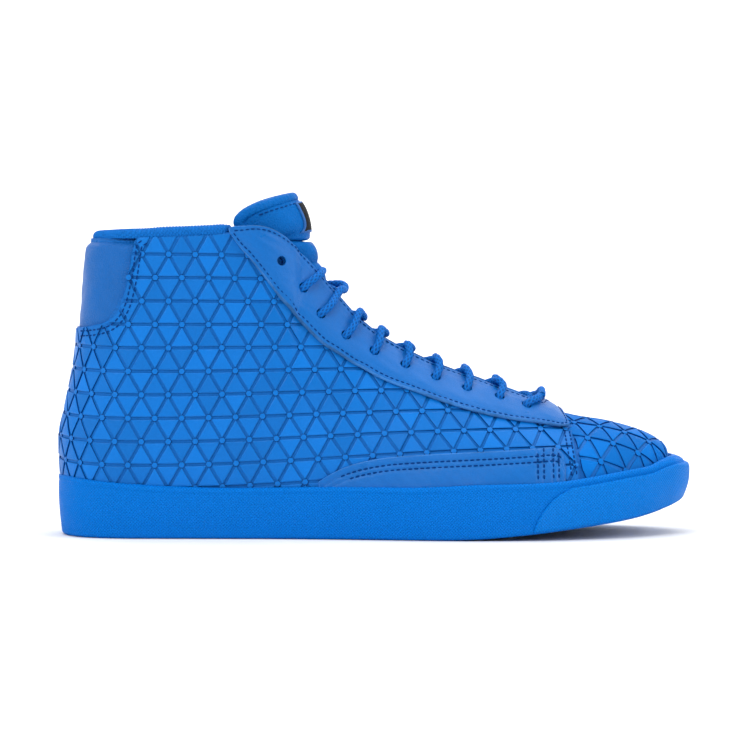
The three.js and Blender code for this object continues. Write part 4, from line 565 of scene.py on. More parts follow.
def plates(name, outline_uv, to_surface, mat, depth=0.85, inset=0.068, lift=0.0, keep=None):
    """raised triangular plates of the pressed pattern, clipped to the panel's outline; outline in lattice units"""
    V, F, tone, base, MI = [], [], [], 0, []; r = np.random.default_rng(11)
    lo = np.floor(outline_uv.min(0)).astype(int); hi = np.ceil(outline_uv.max(0)).astype(int)
    bevel = 0.036
    for k2 in range(lo[0], hi[0]):
        for k3 in range(lo[1], hi[1]):
            for up in (0, 1):
                def planes(d):
                    return ([(1, -1, k2 - k3 + d), (-1, 0, -(k2 + 1 - d)), (0, 1, k3 + d)] if up == 0 else [(-1, 1, k3 - k2 + d), (1, 0, k2 + d), (0, -1, -(k3 + 1 - d))])
                tri = np.array([[k2, k3], [k2 + 1, k3], [k2 + 1, k3 + 1]] if up == 0 else [[k2, k3], [k2, k3 + 1], [k2 + 1, k3 + 1]], float)
                P = clip_poly(outline_uv, planes(inset))
                if len(P) < 3 or poly_area(P) < 0.035: continue
                Q = clip_poly(P, planes(inset + bevel))
                if len(Q) < 3 or poly_area(Q) < 0.02: continue
                # same number of points on every ring: walk the outline by angle about the plate's middle
                c = Q.mean(0)
                def ring(P_, n=24):
                    e = np.roll(P_, -1, 0) - P_; L = np.hypot(*e.T); s = np.concatenate([[0], np.cumsum(L)]); t = np.linspace(0, s[-1], n, endpoint=False)
                    PP = np.vstack([P_, P_[:1]]); return np.stack([np.interp(t, s, PP[:, 0]), np.interp(t, s, PP[:, 1])], -1)
                # rings follow the corners exactly: corners first, then points between
                def dens(P_, per=3):
                    out = []
                    for i in range(len(P_)):
                        a, b = P_[i], P_[(i + 1) % len(P_)]
                        for t in range(per): out.append(a + (b - a) * t / per)
                    return np.array(out)
                if len(P) > 3:                    # thin out outline points that came from the panel edge
                    keep_i = [0]
                    for i in range(1, len(P)):
                        if np.hypot(*(P[i] - P[keep_i[-1]])) > 0.05: keep_i.append(i)
                    P = P[keep_i]
                    if len(P) < 3: continue
                A = dens(P, 4 if len(P) == 3 else 2); cc = A.mean(0)
                dist = np.hypot(*(A - cc).T); B = cc + (A - cc) * (1 - 0.045 / np.maximum(dist, 0.09))[:, None]; C = cc + (A - cc) * 0.45
                tilt = r.normal(0, 0.09, 2); tn = r.uniform(0, 1)
                def put(uv, d):
                    dd = d + ((uv - cc) @ tilt) * 1.2; return to_surface(uv, dd)
                rings = [put(A, -depth - 0.25), put(A, -0.16), put(B, 0.0), put(C, -0.02), put(cc[None], -0.02)]
                n = len(A)
                for R_ in rings[:4]: V.append(R_)
                V.append(rings[4])
                for q in range(3):
                    for i in range(n): F.append([base + q*n + i, base + q*n + (i+1) % n, base + (q+1)*n + (i+1) % n, base + (q+1)*n + i])
                for i in range(n): F.append([base + 3*n + i, base + 3*n + (i+1) % n, base + 4*n])
                F.append([base + i for i in reversed(range(n))]); MI += [1] * n + [0] * (3 * n) + [1]
                tone += [tn] * (4 * n + 1); base += 4 * n + 1
    # small bosses where the grooves meet
    inside = lambda p: sum(((a[1] > p[1]) != (b[1] > p[1])) and (p[0] < (b[0] - a[0]) * (p[1] - a[1]) / (b[1] - a[1] + 1e-12) + a[0]) for a, b in zip(outline_uv, np.roll(outline_uv, -1, 0))) % 2 == 1
    w = np.arange(6) * np.pi / 3
    for i in range(lo[0], hi[0] + 1):
        for j in range(lo[1], hi[1] + 1):
            if not inside((i + 1e-4, j + 1e-4)): continue
            # in (u2, u3) the metric is skewed: hexagon points along the three lattice directions
            hexa = np.array([[1, 0], [1, 1], [0, 1], [-1, 0], [-1, -1], [0, -1]], float)
            c0 = np.array([i, j], float)
            r1, r2 = [to_surface(c0 + hexa * q, dd) for q, dd in ((0.138, -depth - 0.2), (0.116, -0.24))]
            top = to_surface(c0[None], -0.14)
            V += [r1, r2, top]
            for q in range(6): F += [[base + q, base + (q+1) % 6, base + 6 + (q+1) % 6, base + 6 + q], [base + 6 + q, base + 6 + (q+1) % 6, base + 12]]
            F.append([base + q for q in reversed(range(6))]); MI += [1, 0] * 6 + [1]; tone += [0.6] * 13; base += 13
    # faces with material index 1, the sunken sides and bottoms of plates and bosses, take the dark plate-side blue:
    # painted shade in the grooves
    V = np.concatenate(V); o = make(name, V, F, mat, {"tone": tone}, smooth_shade=False); o.data.materials.append(M["wall"]); o.data.polygons.foreach_set("material_index", MI)
    import bmesh
    bm = bmesh.new(); bm.from_mesh(o.data); bmesh.ops.recalc_face_normals(bm, faces=bm.faces); bm.to_mesh(o.data); bm.free()
    return o
EYE_H = []                                        # eyelet axes, both sides
def throat_near(e):
    x = np.arange(-66, 76, 0.25); return float(x[np.argmin(np.hypot(x - e[0], throat_z(x) - e[1]))])
for s in (-1, 1):
    for k, e in enumerate(EYELETS):
        q = e
        if k: t = throat_near(e); v = np.array([t, float(throat_z(t))]) - e; q = e + v / np.hypot(*v) * 0.2
        P, N = on_b(q[0], q[1], s, 0.0); EYE_H.append((P, N, 2.3 if k == 0 else 2.35, s, k))
CYL = {s: cylinders("cut_%d" % s, [(p, n) for p, n, r_, ss, k in EYE_H if ss == s], [r_ for p, n, r_, ss, k in EYE_H if ss == s]) for s in (-1, 1)}
def uv_of(X, Z): R, Hh = RH(np.asarray(X, float), np.asarray(Z, float)); return np.stack([(Hh + R) / 2, (Hh - R) / 2], -1)
QX = np.array([-151, -147.5, -142, -135, -128.5, -124, -121, -118.2, -116, -114, -111.5, -100, -88, -77, -69.5, -62, -55, -49, -43, -36, -28, -20, -10, 0, 12, 25, 38, 50, 62, 70, 76, 82, 88, 93.5])
for s in (-1, 1):
    side = "lateral" if s < 0 else "medial"; nr = 57
    A0, Z0 = [], []
    for c, x0 in enumerate([None, *QX]):
        t = np.linspace(0, 1, nr)
        if x0 is None: A0.append(0 * t + 0.02); Z0.append(lerp(12.4, 99.4, t)); continue
        top = float(front_z(x0)) if x0 > 76 else 99.5 if x0 < -140 else float(q_top(np.float64(x0)))
        z = lerp(float(bottom_z(x0)), top, t); x = x0 + (x0 - 62) / 31.5 * (1 - t) * 4.6 if x0 > 62 else x0 + 0 * t
        if x0 < -135: x = -135 + (x0 + 135) * (-135 - heel_back(z)) / 17.5
        tt = (x - heel_back(z)) / 34; A0.append(np.where(tt < 1, np.arccos(np.clip(1 - tt, 0, 1)) / (np.pi / 2), tt)); Z0.append(z)
    # even spacing of the columns between the control columns
    A0 = np.array(A0); Z0 = np.array(Z0); G0 = PA(A0 * s, Z0); sp = np.concatenate([[0], np.cumsum(np.linalg.norm(np.diff(G0[:, 20], axis=0), axis=-1))])
    t = np.linspace(0, sp[-1], 201); A = np.stack([np.interp(t, sp, A0[:, j]) for j in range(nr)], 1); Z = np.stack([np.interp(t, sp, Z0[:, j]) for j in range(nr)], 1)
    G = PA(A * s, Z); N = grid_normals(G, G - np.stack([np.clip(G[..., 0], -116, 118), centre(G[..., 0]), G[..., 2]], -1))
    # groove floor; it stands full height in the plain margin at the panel's own edges
    e = rim_dist(G); d = -0.85 + 0.6 * (1 - smooth((e - 0.3) / 0.9)); d = bevelled(G, d, 0.25)
    # the sheet under the plates is the groove floor, its blue darkened as painted shade
    o = leather(side + "_quarter_sheet", G + N * d[..., None], G - N * 1.9, [M["base"], M["base"], M["lining"]], k=8)
    cut_holes(o, CYL[s]); done(o, "shoe", "emboss")
    # outline of the pattern, side-view coordinates
    arc0 = lambda z: float(heel_back(z)) + 34 - float(np.interp(z, ZT, ARC[:, -1]))
    zz = np.linspace(18, 98.6, 60); back = [(arc0(z) + 0.5, z) for z in zz]
    tabu = []
    for x, z in TAB_EDGE:
        a = np.arccos(np.clip(1 - (x - float(heel_back(z))) / 34, -1, 1)) / (np.pi / 2) if x < float(heel_back(z)) + 34 else 1
        i = int(np.clip((z - 10) / 2, 0, 69)); xa = (float(heel_back(z)) + 34 - np.interp(-a, -AT, ARC[i])) if a < 1 else x
        tabu.append((xa + 0.5, z - 0.8))
    tabu = tabu[1:]
    top = [(x, float(collar_z(x)) - 0.9) for x in np.linspace(-110.5, -70, 30)]
    rear = resample(STAY_REAR, n=70); thr = resample(THROAT, n=70); stay = rear + unit(thr - rear) * 3.0
    fr = [(lerp(92.6, 97.0, t_), lerp(51.6, 20, t_)) for t_ in np.linspace(0, 1, 12)]
    bot = [(x, 18.0 + float(spring(x))) for x in np.linspace(96, -118, 60)]
    out = np.array(back + tabu + top + stay.tolist() + fr + bot + [(arc0(18) + 20, 18)])
    def surf(uv, dd, s=s):
        X, Zv = inv_RH(uv[:, 0] - uv[:, 1], uv[:, 0] + uv[:, 1]); return skin(X, Zv, s, np.broadcast_to(dd, X.shape))[0]
    pl = plates(side + "_quarter", uv_of(*out.T), surf, M["emboss"]); done(pl, "shoe", "emboss", side + "_quarter")

# vamp: lattice over ridge length p and girth q
VX = np.linspace(74, 142.6, 141); _r = ridge(VX); VP = 100 + np.concatenate([[0], np.cumsum(np.hypot(np.diff(VX), np.diff(_r)))]); VP -= np.interp(100, VX, VP) - 100
VF = np.linspace(0, np.pi / 2, 61)
VQ = {s: np.stack([np.concatenate([[0], np.cumsum(np.linalg.norm(np.diff(PB(np.full(61, x), VF * s), axis=0), axis=-1))]) for x in VX]) for s in (-1, 1)}
def pq_of(x, f):
    x, f = np.broadcast_arrays(np.asarray(x, float), np.asarray(f, float)); q = np.zeros(x.shape)
    for k in np.ndindex(x.shape):
        s = -1 if f[k] < 0 else 1; i = min(int((x[k] - 74) / (68.6 / 140)), 139); q[k] = -s * np.interp(abs(f[k]), VF, lerp(VQ[s][i], VQ[s][i + 1], (x[k] - VX[i]) / (VX[1] - VX[0])))
    return np.interp(x, VX, VP), q
def vskin(p, q, d):
    x = np.interp(p, VP, VX); f = np.zeros(x.shape)
    for k in np.ndindex(x.shape):
        s = -1 if q[k] > 0 else 1; i = int(np.clip((x[k] - 74) / (68.6 / 140), 0, 139)); f[k] = s * np.interp(abs(q[k]), lerp(VQ[s][i], VQ[s][i + 1], np.clip((x[k] - VX[i]) / (VX[1] - VX[0]), 0, 1)), VF)
    P = PB(x, f); n = unit(np.cross(PB(x + .5, f) - PB(x - .5, f), PB(x, f + .03) - PB(x, f - .03)))
    o = P - np.stack([np.clip(x, -116, 118), centre(x), feather(x) + 8], -1); n = np.where((n * o).sum(-1, keepdims=True) < 0, -n, n)
    fade = -0.8 * (1 - smooth((x - vrear(f)) / 7)); return P + n * (np.asarray(d) + fade)[..., None]
_vr = pchip([0, 0.12, 0.3, 0.45, 0.6, 0.8, 1], [78.6, 79.6, 87.5, 94.9, 96.2, 98.2, 99.6]); vrear = lambda f: _vr(np.abs(f) / (np.pi / 2))
lab = np.array([(0,0),(1,0),(0,1),(1,1),(2,0),(2,1),(1,-1),(2,-1),(1,2),(0,2),(-1,2)], float)
nod = np.array([(101.3,47.1),(113.6,44.4),(107.9,50.9),(120.4,48.3),(125.5,39.6),(131.5,43.7),(106.4,38.4),(118.2,33.8),(125.5,50.9),(113.4,53.8),(101.6,55.5)])
pn, qn = pq_of(nod[:, 0], f_of(nod[:, 0], nod[:, 1], -1)); Amat = np.linalg.lstsq(np.stack([pn, qn, np.ones(len(pn))], -1), lab, rcond=None)[0]
print("vamp lattice fit error", np.abs(np.stack([pn, qn, np.ones(len(pn))], -1) @ Amat - lab).max().round(3), "edges mm", np.linalg.norm(np.linalg.inv(Amat[:2].T), axis=0).round(2))
Ainv = np.linalg.inv(Amat[:2])
# the plates' axes: u2 = i + j', u3 = j' so that the three line families are u2, u3 and u2 - u3
def v_to_uv(p, q): ij = np.stack([p, q], -1) @ Amat[:2] + Amat[2]; return np.stack([ij[..., 0] + ij[..., 1] * 1.0, ij[..., 1] + 0 * ij[..., 0]], -1) if VSK else ij
VSK = True
def v_from_uv(uv): j = uv[:, 1]; i = uv[:, 0] - j; return (np.stack([i, j], -1) - Amat[2]) @ Ainv
G = None
fs = np.linspace(-np.pi / 2, np.pi / 2, 97); us = 1 - (1 - np.linspace(0, 1, 81)) ** 1.5
X = np.stack([lerp(vrear(fs) - 3.0 * smooth((np.abs(fs) - .35) / .3), 142.25, u) for u in us]); Fg = np.broadcast_to(fs, X.shape); G = PB(X, Fg)
N = grid_normals(G, G - np.stack([np.clip(G[..., 0], -116, 118), centre(G[..., 0]), feather(G[..., 0]) + 8], -1))
# the vamp's sheet under the plates is the groove floor, its blue darkened as painted shade
d = -0.85 - 1.2 * (1 - smooth((X - vrear(Fg) + 1) / 6)); o = leather("vamp_sheet", G + N * d[..., None], G - N * 2.9, [M["base"], M["base"], M["lining"]], k=8); done(o, "shoe", "emboss")
fe = np.linspace(-1.45, 1.45, 60); rear_l = [pq_of(vrear(f) + 0.6, f) for f in fe]
def low(x, s): return float(f_of(np.float64(x), np.float64(wall_top(x) - 3), s))
# ---------------------------------------------------------------- sole unit
SXT = hx([0, 1.2, 5, 12, 24, 40, 60, 80, 105, 130, 160, 185, 205, 225, 245, 262, 276, 287, 295.5, 300.5, 303, 303.7])
sole_lat = pchip(SXT, [0, -11.5, -21.8, -30.8, -37.2, -39.6, -40, -40.4, -41.6, -44.2, -49.2, -53, -54.5, -53.4, -48.8, -41.6, -33, -24.2, -14.6, -6.2, 1.2, 8])
sole_med = pchip(SXT, [0, 11.5, 21.6, 30.4, 36.4, 38.9, 39.2, 38.6, 36.8, 35.2, 37.4, 42, 47, 50.6, 51.2, 48.6, 43.8, 37.6, 29.8, 22.6, 15.2, 8])
wall_top = pchip([-152.5, -146.9, -138.5, -122.9, -107.8, -89, -70.6, -40.4, -11.3, 14, 30.9, 47.2, 72.4, 86.6, 98.6, 111.2, 121.1, 131.9, 137.3, 144.4], [28.8, 28.7, 27.9, 26.5, 25.5, 24.6, 24.2, 24.6, 25, 25, 25.5, 26.4, 27, 27.7, 29, 30.8, 32.3, 33.8, 35.7, 37.4])
th = np.linspace(0, 1, 4000)
xl = lerp(-152.5, 151.2, 0.5 - 0.5 * np.cos(np.pi * th)); loop = np.concatenate([np.stack([xl, sole_lat(xl)], -1), np.stack([xl, sole_med(xl)], -1)[::-1][1:-1]])
cl = np.vstack([loop, loop[:1]]); cs = np.concatenate([[0], np.cumsum(np.hypot(*np.diff(cl, axis=0).T))]); NL = 1000
u = np.linspace(0, cs[-1], NL, endpoint=False); LP = np.stack([np.interp(u, cs, cl[:, 0]), np.interp(u, cs, cl[:, 1])], -1)
def ring_smooth(A, k=6):
    for _ in range(k): A = 0.5 * A + 0.25 * (np.roll(A, 1, 0) + np.roll(A, -1, 0))
    return A
LP = ring_smooth(LP, 30)
T2 = np.roll(LP, -1, 0) - np.roll(LP, 1, 0); NO = np.stack([T2[:, 1], -T2[:, 0]], -1); NO /= np.linalg.norm(NO, axis=1, keepdims=True)
if (NO * (LP - LP.mean(0))).sum() < 0: NO = -NO
NO = ring_smooth(NO, 12); NO /= np.linalg.norm(NO, axis=1, keepdims=True)
UO = np.concatenate([np.stack([_x, upper_lat(_x)], -1) for _x in [np.linspace(-112, 142.7, 900)]] + [np.stack([_x, upper_med(_x)], -1) for _x in [np.linspace(-112, 142.7, 900)]])
_a = np.linspace(-1, 1, 400); UO = np.vstack([UO, PA(_a, np.full(400, 24.0))[:, :2]])
near = np.array([UO[np.argmin(((UO - p) ** 2).sum(1))] for p in LP]); dv = LP - near; TH = np.maximum(np.hypot(*dv.T), 1.1); near = ring_smooth(near + dv / TH[:, None] * 0.5, 10)
SP = spring(LP[:, 0]); ZTOP = wall_top(LP[:, 0]); TT = np.maximum(np.hypot(*(LP - near).T), 4)
def at(dd, z): return np.concatenate([LP + NO * np.broadcast_to(dd, (NL,))[:, None], np.broadcast_to(z, (NL,))[:, None]], -1)
S = []
# foot of the wall, its slightly bowed face, a bead along the top and the bonded inner face
RL = np.clip(np.hypot(*(LP - near).T) * 0.85, 1.3, 6.5); RL = ring_smooth(RL, 20); hw = ZTOP - SP; TOE = smooth((LP[:, 0] - 112) / 30)
for t_ in np.linspace(0, 1, 5): S.append(at(-3.4 + 2.0 * np.sin(t_ * np.pi / 2), SP + 0.15 + 1.7 * (1 - np.cos(t_ * np.pi / 2))))
for t_ in np.linspace(0.02, 1, 34):
    z = SP + 1.9 + (hw - 1.9 - RL) * t_; S.append(at(-1.4 + 1.4 * np.sin(min(t_ * 1.35, 1) * np.pi / 2) - 0.12 * np.exp(-((z - SP - 5.2) / 0.35) ** 2) - 0.3 * np.exp(-((ZTOP - z - 2.9) / 0.35) ** 2) - TOE * 1.1 * (1 - t_) ** 2, z))
for fi in np.linspace(0.08, np.pi / 2, 12):
    z = ZTOP - RL * (1 - np.sin(fi)); g_ = 0.3 * np.exp(-((ZTOP - z - 2.9) / 0.35) ** 2); S.append(np.concatenate([lerp(LP, near, 1 - np.cos(fi)) - NO * g_[:, None], z[:, None]], -1))
S.append(np.concatenate([near, (ZTOP - 1.4)[:, None]], -1)); S.append(np.concatenate([near, (SP + 11.8)[:, None]], -1)); S.append(at(-TT - 2.2, SP + 10.6)); S.append(at(-TT - 2.2, SP + 0.15))
arcl = np.concatenate([[0], np.cumsum(np.linalg.norm(np.diff(LP, axis=0), axis=-1))]) / 1000
fox = sweep("sidewall", np.stack(S, 1), M["rubber"], closed=True, attrs={"arc": np.repeat(arcl[:, None], len(S), 1).ravel()}); done(fox, "shoe", "rubber", "sidewall_foxing")
# toe wrap: a smoother strip over the front of the sidewall, ends cut on a curve
edge_x = pchip([-2, 2.2, 8, 14.6, 19.5, 21.9, 24.2, 40], [74, 74.2, 75.6, 79.1, 83.3, 86.5, 91.3, 100])
ix = np.arange(NL); front = np.where(LP[:, 0] > 60)[0]; jump = np.where(np.diff(front) > 1)[0]
front = np.concatenate([front[jump[0] + 1:], front[:jump[0] + 1]]) if len(jump) else front
rows = np.linspace(0, 1, 33); O, I, AR = [], [], []; arcf = np.concatenate([[0], np.cumsum(np.linalg.norm(np.diff(LP[front], axis=0), axis=-1))]) / 1000
for t_ in rows:
    Xf = LP[front, 0]; z = (SP + 0.85)[front] + ((ZTOP - 3.3) - (SP + 0.85))[front] * t_
    ex = edge_x(z); ok = Xf - ex; half_n = len(front) // 2
    i0 = np.interp(0, ok[:half_n], np.arange(half_n)); i1 = half_n + np.interp(0, -ok[half_n:], np.arange(len(front) - half_n))
    k = np.linspace(i0, i1, 401); f_ = lambda A_: np.stack([np.interp(k, np.arange(len(front)), A_[front][:, c]) for c in range(A_.shape[1])], -1)
    P2, n2 = f_(LP), f_(NO); zz = np.interp(k, np.arange(len(front)), z); sp_, zt_ = np.interp(k, np.arange(len(front)), SP[front]), np.interp(k, np.arange(len(front)), ZTOP[front])
    rl_ = np.interp(k, np.arange(len(front)), RL[front]); te_ = np.interp(k, np.arange(len(front)), TOE[front]); nr_ = f_(near); tt = np.clip((zz - sp_ - 1.9) / (zt_ - sp_ - 1.9 - rl_), 0, 1)
    base_d = np.where(zz < sp_ + 1.9, -3.4 + 2.0 * np.sin(np.clip((zz - sp_ - 0.15) / 1.75, 0, 1) * np.pi / 2), -1.4 + 1.4 * np.sin(np.minimum(tt * 1.35, 1) * np.pi / 2)) - te_ * 1.1 * (1 - tt) ** 2
    sf = np.clip((zz - (zt_ - rl_)) / rl_, 0, 1); P2 = lerp(P2, nr_, (1 - np.sqrt(1 - sf ** 2))[:, None])
    AR.append(np.interp(k, np.arange(len(front)), arcf)); O.append(np.concatenate([P2 + n2 * (base_d + 1.2)[:, None], zz[:, None]], -1)); I.append(np.concatenate([P2 + n2 * (base_d + 0.05)[:, None], zz[:, None]], -1))
O, I = np.array(O), np.array(I); e = rim_dist(O); w_ = (1 - np.sqrt(np.clip(1 - (1 - np.clip(e / 1.3, 0, 1)) ** 2, 0, 1)))[..., None]; O = lerp(O, I, w_ * 0.85)
wrap = leather("toe_band", O, I, [M["rubber_s"], M["rubber_s"], M["rubber_s"]], k=8, attrs={"arc": np.array(AR)}); done(wrap, "shoe", "rubber_s", "toe_wrap")
# vamp pattern
def fl(x, s): return float(f_of(np.float64(x), np.float64(float(wall_top(x)) - 3), s))
xs = np.linspace(99, 141.6, 36); latl = [pq_of(x, fl(x, -1)) for x in xs]; medl = [pq_of(x, fl(x, 1)) for x in xs[::-1]]
tip_f = np.linspace(fl(141.6, -1), fl(141.6, 1), 10)[1:-1]; tip = [pq_of(141.9, f) for f in tip_f]
fe = np.linspace(fl(98, 1), fl(98, -1), 60); rear_l = [pq_of(vrear(f) + 0.5, f) for f in fe]
out = np.array([[float(a), float(b)] for a, b in latl + tip + medl + rear_l]); uvo = v_to_uv(out[:, 0], out[:, 1])
# the vamp's plates take the darker copy of the embossed leather, painted shade
pl = plates("vamp", uvo, lambda uv, dd: vskin(*v_from_uv(uv).T, np.broadcast_to(dd, len(uv))), M["emboss_v"]); done(pl, "shoe", "emboss", "vamp")

# outsole and sockliner
inn = np.concatenate([LP - NO * (TT + 2.65)[:, None]], 0); xa, xb_ = inn[:, 0].min() + 1.0, inn[:, 0].max() - 1.0
def halves(x):
    lo = inn[inn[:, 1] < centre(inn[:, 0])]; hi = inn[inn[:, 1] >= centre(inn[:, 0])]; lo = lo[np.argsort(lo[:, 0])]; hi = hi[np.argsort(hi[:, 0])]
    return np.interp(x, lo[:, 0], lo[:, 1]), np.interp(x, hi[:, 0], hi[:, 1])
n, m = 369, 113; xs = lerp(xa, xb_, 0.5 - 0.5 * np.cos(np.pi * np.linspace(0.02, 0.98, n))); lo, hi = halves(xs); y = lerp(lo[:, None], hi[:, None], np.linspace(0, 1, m)[None]); X = np.broadcast_to(xs[:, None], y.shape)
tri = lambda v: np.abs((v % 1) - 0.5) * 2
f1 = ((X + 6 * tri(y / 9)) / 4.2) % 1; band = np.minimum(y - lo[:, None], hi[:, None] - y) < 6
gr = np.where(band, 1.4 * smooth(1 - np.abs(np.minimum(y - lo[:, None], hi[:, None] - y) - 5) / 0.9), 1.5 * smooth((0.34 - np.abs(f1 - 0.5)) * 6 - 0.6)); Z = spring(X) + gr
outs = leather("outsole_tread", np.stack([X, y, Z], -1), np.stack([X, y, spring(X) + 5], -1), [M["outsole"]] * 3, k=8); done(outs, "shoe", "outsole", "outsole")
def inside(s, dd): return lambda x: centre(x) + s * np.maximum(half(x, feather(x) + 3, s) - dd, 1.2)
n, m = 241, 65; xs = lerp(-139.4, 126.9, 0.5 - 0.5 * np.cos(np.pi * np.linspace(0.0, 1, n))); lo, hi = inside(-1, 8.2)(xs), inside(1, 8.2)(xs); v = np.linspace(0, 1, m); y = lerp(lo[:, None], hi[:, None], v[None]); X = np.broadcast_to(xs[:, None], y.shape)
G = np.stack([X, y, 0 * X], -1); e = rim_dist(G); top = spring(X) + 12 + 1.2 + 4.3 - 1.6 * (1 - np.sqrt(np.clip(1 - (1 - np.clip(e / 2, 0, 1)) ** 2, 0, 1))) - 0.7 * np.exp(-((X + 100) / 26) ** 2 - ((v[None] - .5) / .3) ** 2) - 0.5 * np.exp(-((X - 75) / 30) ** 2 - ((v[None] - .5) / .35) ** 2)
sock = leather("footbed", np.stack([X, y, top], -1), np.stack([X, y, spring(X) + 13.3], -1), [M["sock"]] * 3, k=8); done(sock, "shoe", "sock", "sockliner"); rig.padded(sock, fill=0.9)

# ---------------------------------------------------------------- overlays
FRONT = [[[78.6, 62.9, -1, 1], [92.4, 52.2, -1, 1]], [[80.2, 62.9, -1, .6], [91.4, 54.6, -1, 1]], [[80.8, 0, 0, 0], [89.6, 0, 0, 0]], [[80.2, 62.9, 1, .6], [91.4, 54.6, 1, 1]], [[78.6, 62.9, 1, 1], [92.4, 52.2, 1, 1]]]
F1 = lambda q: 0.0 if q[2] == 0 else float(f_of(np.float64(80.2 if (q[3] != 1) else q[0]), np.float64(q[1]), q[2])) * q[3]
def stay_side(s): return [[[t_[0], float(f_of(t_[0], t_[1], s))], [r_[0], float(f_of(r_[0], r_[1], s))]] for t_, r_ in zip(THROAT, STAY_REAR)]
cols = np.array(stay_side(-1) + [[[a[0], F1(a)], [b[0], F1(b)]] for a, b in FRONT] + stay_side(1)[::-1])   # col, edge, (x, f)
NCOL = 641; SC = fine_cols(cols, NCOL)
for _ in range(2): SC[1:-1] = 0.5 * SC[1:-1] + 0.25 * (SC[2:] + SC[:-2])
def stay_grid(v): v = np.asarray(v, float); q = SC[:, 0, None, :] + (SC[:, 1] - SC[:, 0])[:, None, :] * v[None, :, None]; return q
v = np.linspace(0, 1, 33); q = stay_grid(v); G = PB(q[..., 0], q[..., 1])
oB = lambda G: G - np.stack([np.clip(G[..., 0], -116, 118), centre(G[..., 0]), feather(G[..., 0]) + 8], -1)
N = grid_normals(G, oB(G)); N = unit(N + 0.0)
W_ = np.linalg.norm(G[:, -1] - G[:, 0], axis=-1); W_ = np.concatenate([np.cumsum(np.linalg.norm(np.diff(G, axis=1), axis=-1), 1)[:, -1]])
dist = np.concatenate([np.zeros((NCOL, 1)), np.cumsum(np.linalg.norm(np.diff(G, axis=1), axis=-1), 1)], 1)
wav = 0.10 * np.sin(G[..., 0] * 0.31 + G[..., 2] * 0.17) * np.sin(G[..., 2] * 0.23 - G[..., 0] * .05) + 0.05 * np.sin(G[..., 0] * 0.9 + 1.3 * G[..., 2])
seam = lambda dd, c, w=0.9, a=0.3: -a * np.exp(-((dd - c) / w) ** 2)
d = 1.75 + wav + seam(dist, 2.3) + seam(W_[:, None] - dist, 2.1) + 0.25 * smooth((dist - 5) / 3) * smooth((W_[:, None] - dist - 3.5) / 3)
d = bevelled(G, d, 0.5); stay = leather("eyestay_leather", G + N * d[..., None], G + N * 0.55, [M["smooth"], M["edge"], M["smooth"]], k=8, rim=0.12)
for s in (-1, 1): cut_holes(stay, CYL[s])
done(stay, "shoe", "smooth", "eyestay")
for s in (-1, 1):
    side = "lateral" if s < 0 else "medial"
    x = np.linspace(-26.4, 89.3, 329); zt = guard_z(x); zb = wall_top(x) - 1.2; zt = np.maximum(zt, zb + 1); z = lerp(zb[:, None], zt[:, None], np.linspace(0, 1, 33)[None]); X = np.broadcast_to(x[:, None], z.shape)
    G = PXZ(X, z, s); N = grid_normals(G, oB(G)); top_d = guard_z(X) - z; wav = 0.12 * np.sin(X * .23) * np.sin(z * .4 + 1) + 0.05 * np.sin(X * .8 + z)
    d = 1.55 + wav + seam(top_d, 3.6) + seam(top_d, 6.2) + seam(X, 76.2) + seam(X, 79.0) + seam(X, 83.4) + seam(X, 86.0)
    d = bevelled(G, d, 0.5); o = leather(side + "_guard", G + N * d[..., None], G + N * 0.25, [M["smooth"], M["edge"], M["smooth"]], k=8, rim=0.12); done(o, "shoe", "smooth", side + "_mudguard")
    q = cols[3:23] if s < 0 else cols[30:50]; q = fine_cols(q, 161); vv = np.linspace(0.08, 0.74, 17); q = q[:, 0, None] + (q[:, 1] - q[:, 0])[:, None] * vv[None, :, None]
    G = PB(q[..., 0], q[..., 1]); N = grid_normals(G, oB(G)); o = leather(side + "_facing", G + N * -2.6, G + N * -3.35, [M["webbing"]] * 3, k=8); cut_holes(o, CYL[s]); done(o, "shoe", "webbing", side + "_eyelet_facing")
for o in CYL.values(): bpy.data.objects.remove(o)
# heel tab
ee = pchip([95, 98, 101, 104, 108, 113, 120, 127, 135, 142], [-134, -130, -123, -119, -116.4, -114.4, -112.6, -111.4, -110.4, -108.2])
z = np.linspace(95, 142, 97); tt = (ee(z) - heel_back(z)) / 34; ae = np.where(tt < 1, np.arccos(np.clip(1 - tt, -1, 1)) / (np.pi / 2), tt); u = np.linspace(-1, 1, 201)
A = u[:, None] * ae[None]; Z = np.broadcast_to(z, A.shape); P = PA(A, Z); oA = lambda G: G - np.stack([np.clip(G[..., 0], -116, 118), centre(G[..., 0]), G[..., 2]], -1)
N = grid_normals(P, oA(P)); puff = 1.5 * np.clip(1 - np.abs(u[:, None]) ** 6, 0, 1) * np.sin(np.pi * np.clip((z[None] - 96) / 46, 0, 1)) ** .45
d = -2.4 + puff - 4.0 * smooth((P[..., 2] - 136.5) / 6.5) ** 1.5 + 0.14 * np.sin(P[..., 2] * .5 + u[:, None] * 5) * np.sin(u[:, None] * 11 + P[..., 2] * .13)
o = leather("heel_tab_leather", P + N * bevelled(P, d, .4)[..., None], P - N * 3.5, [M["grained"], M["edge"], M["lining"]], k=8); done(o, "shoe", "grained", "heel_tab")

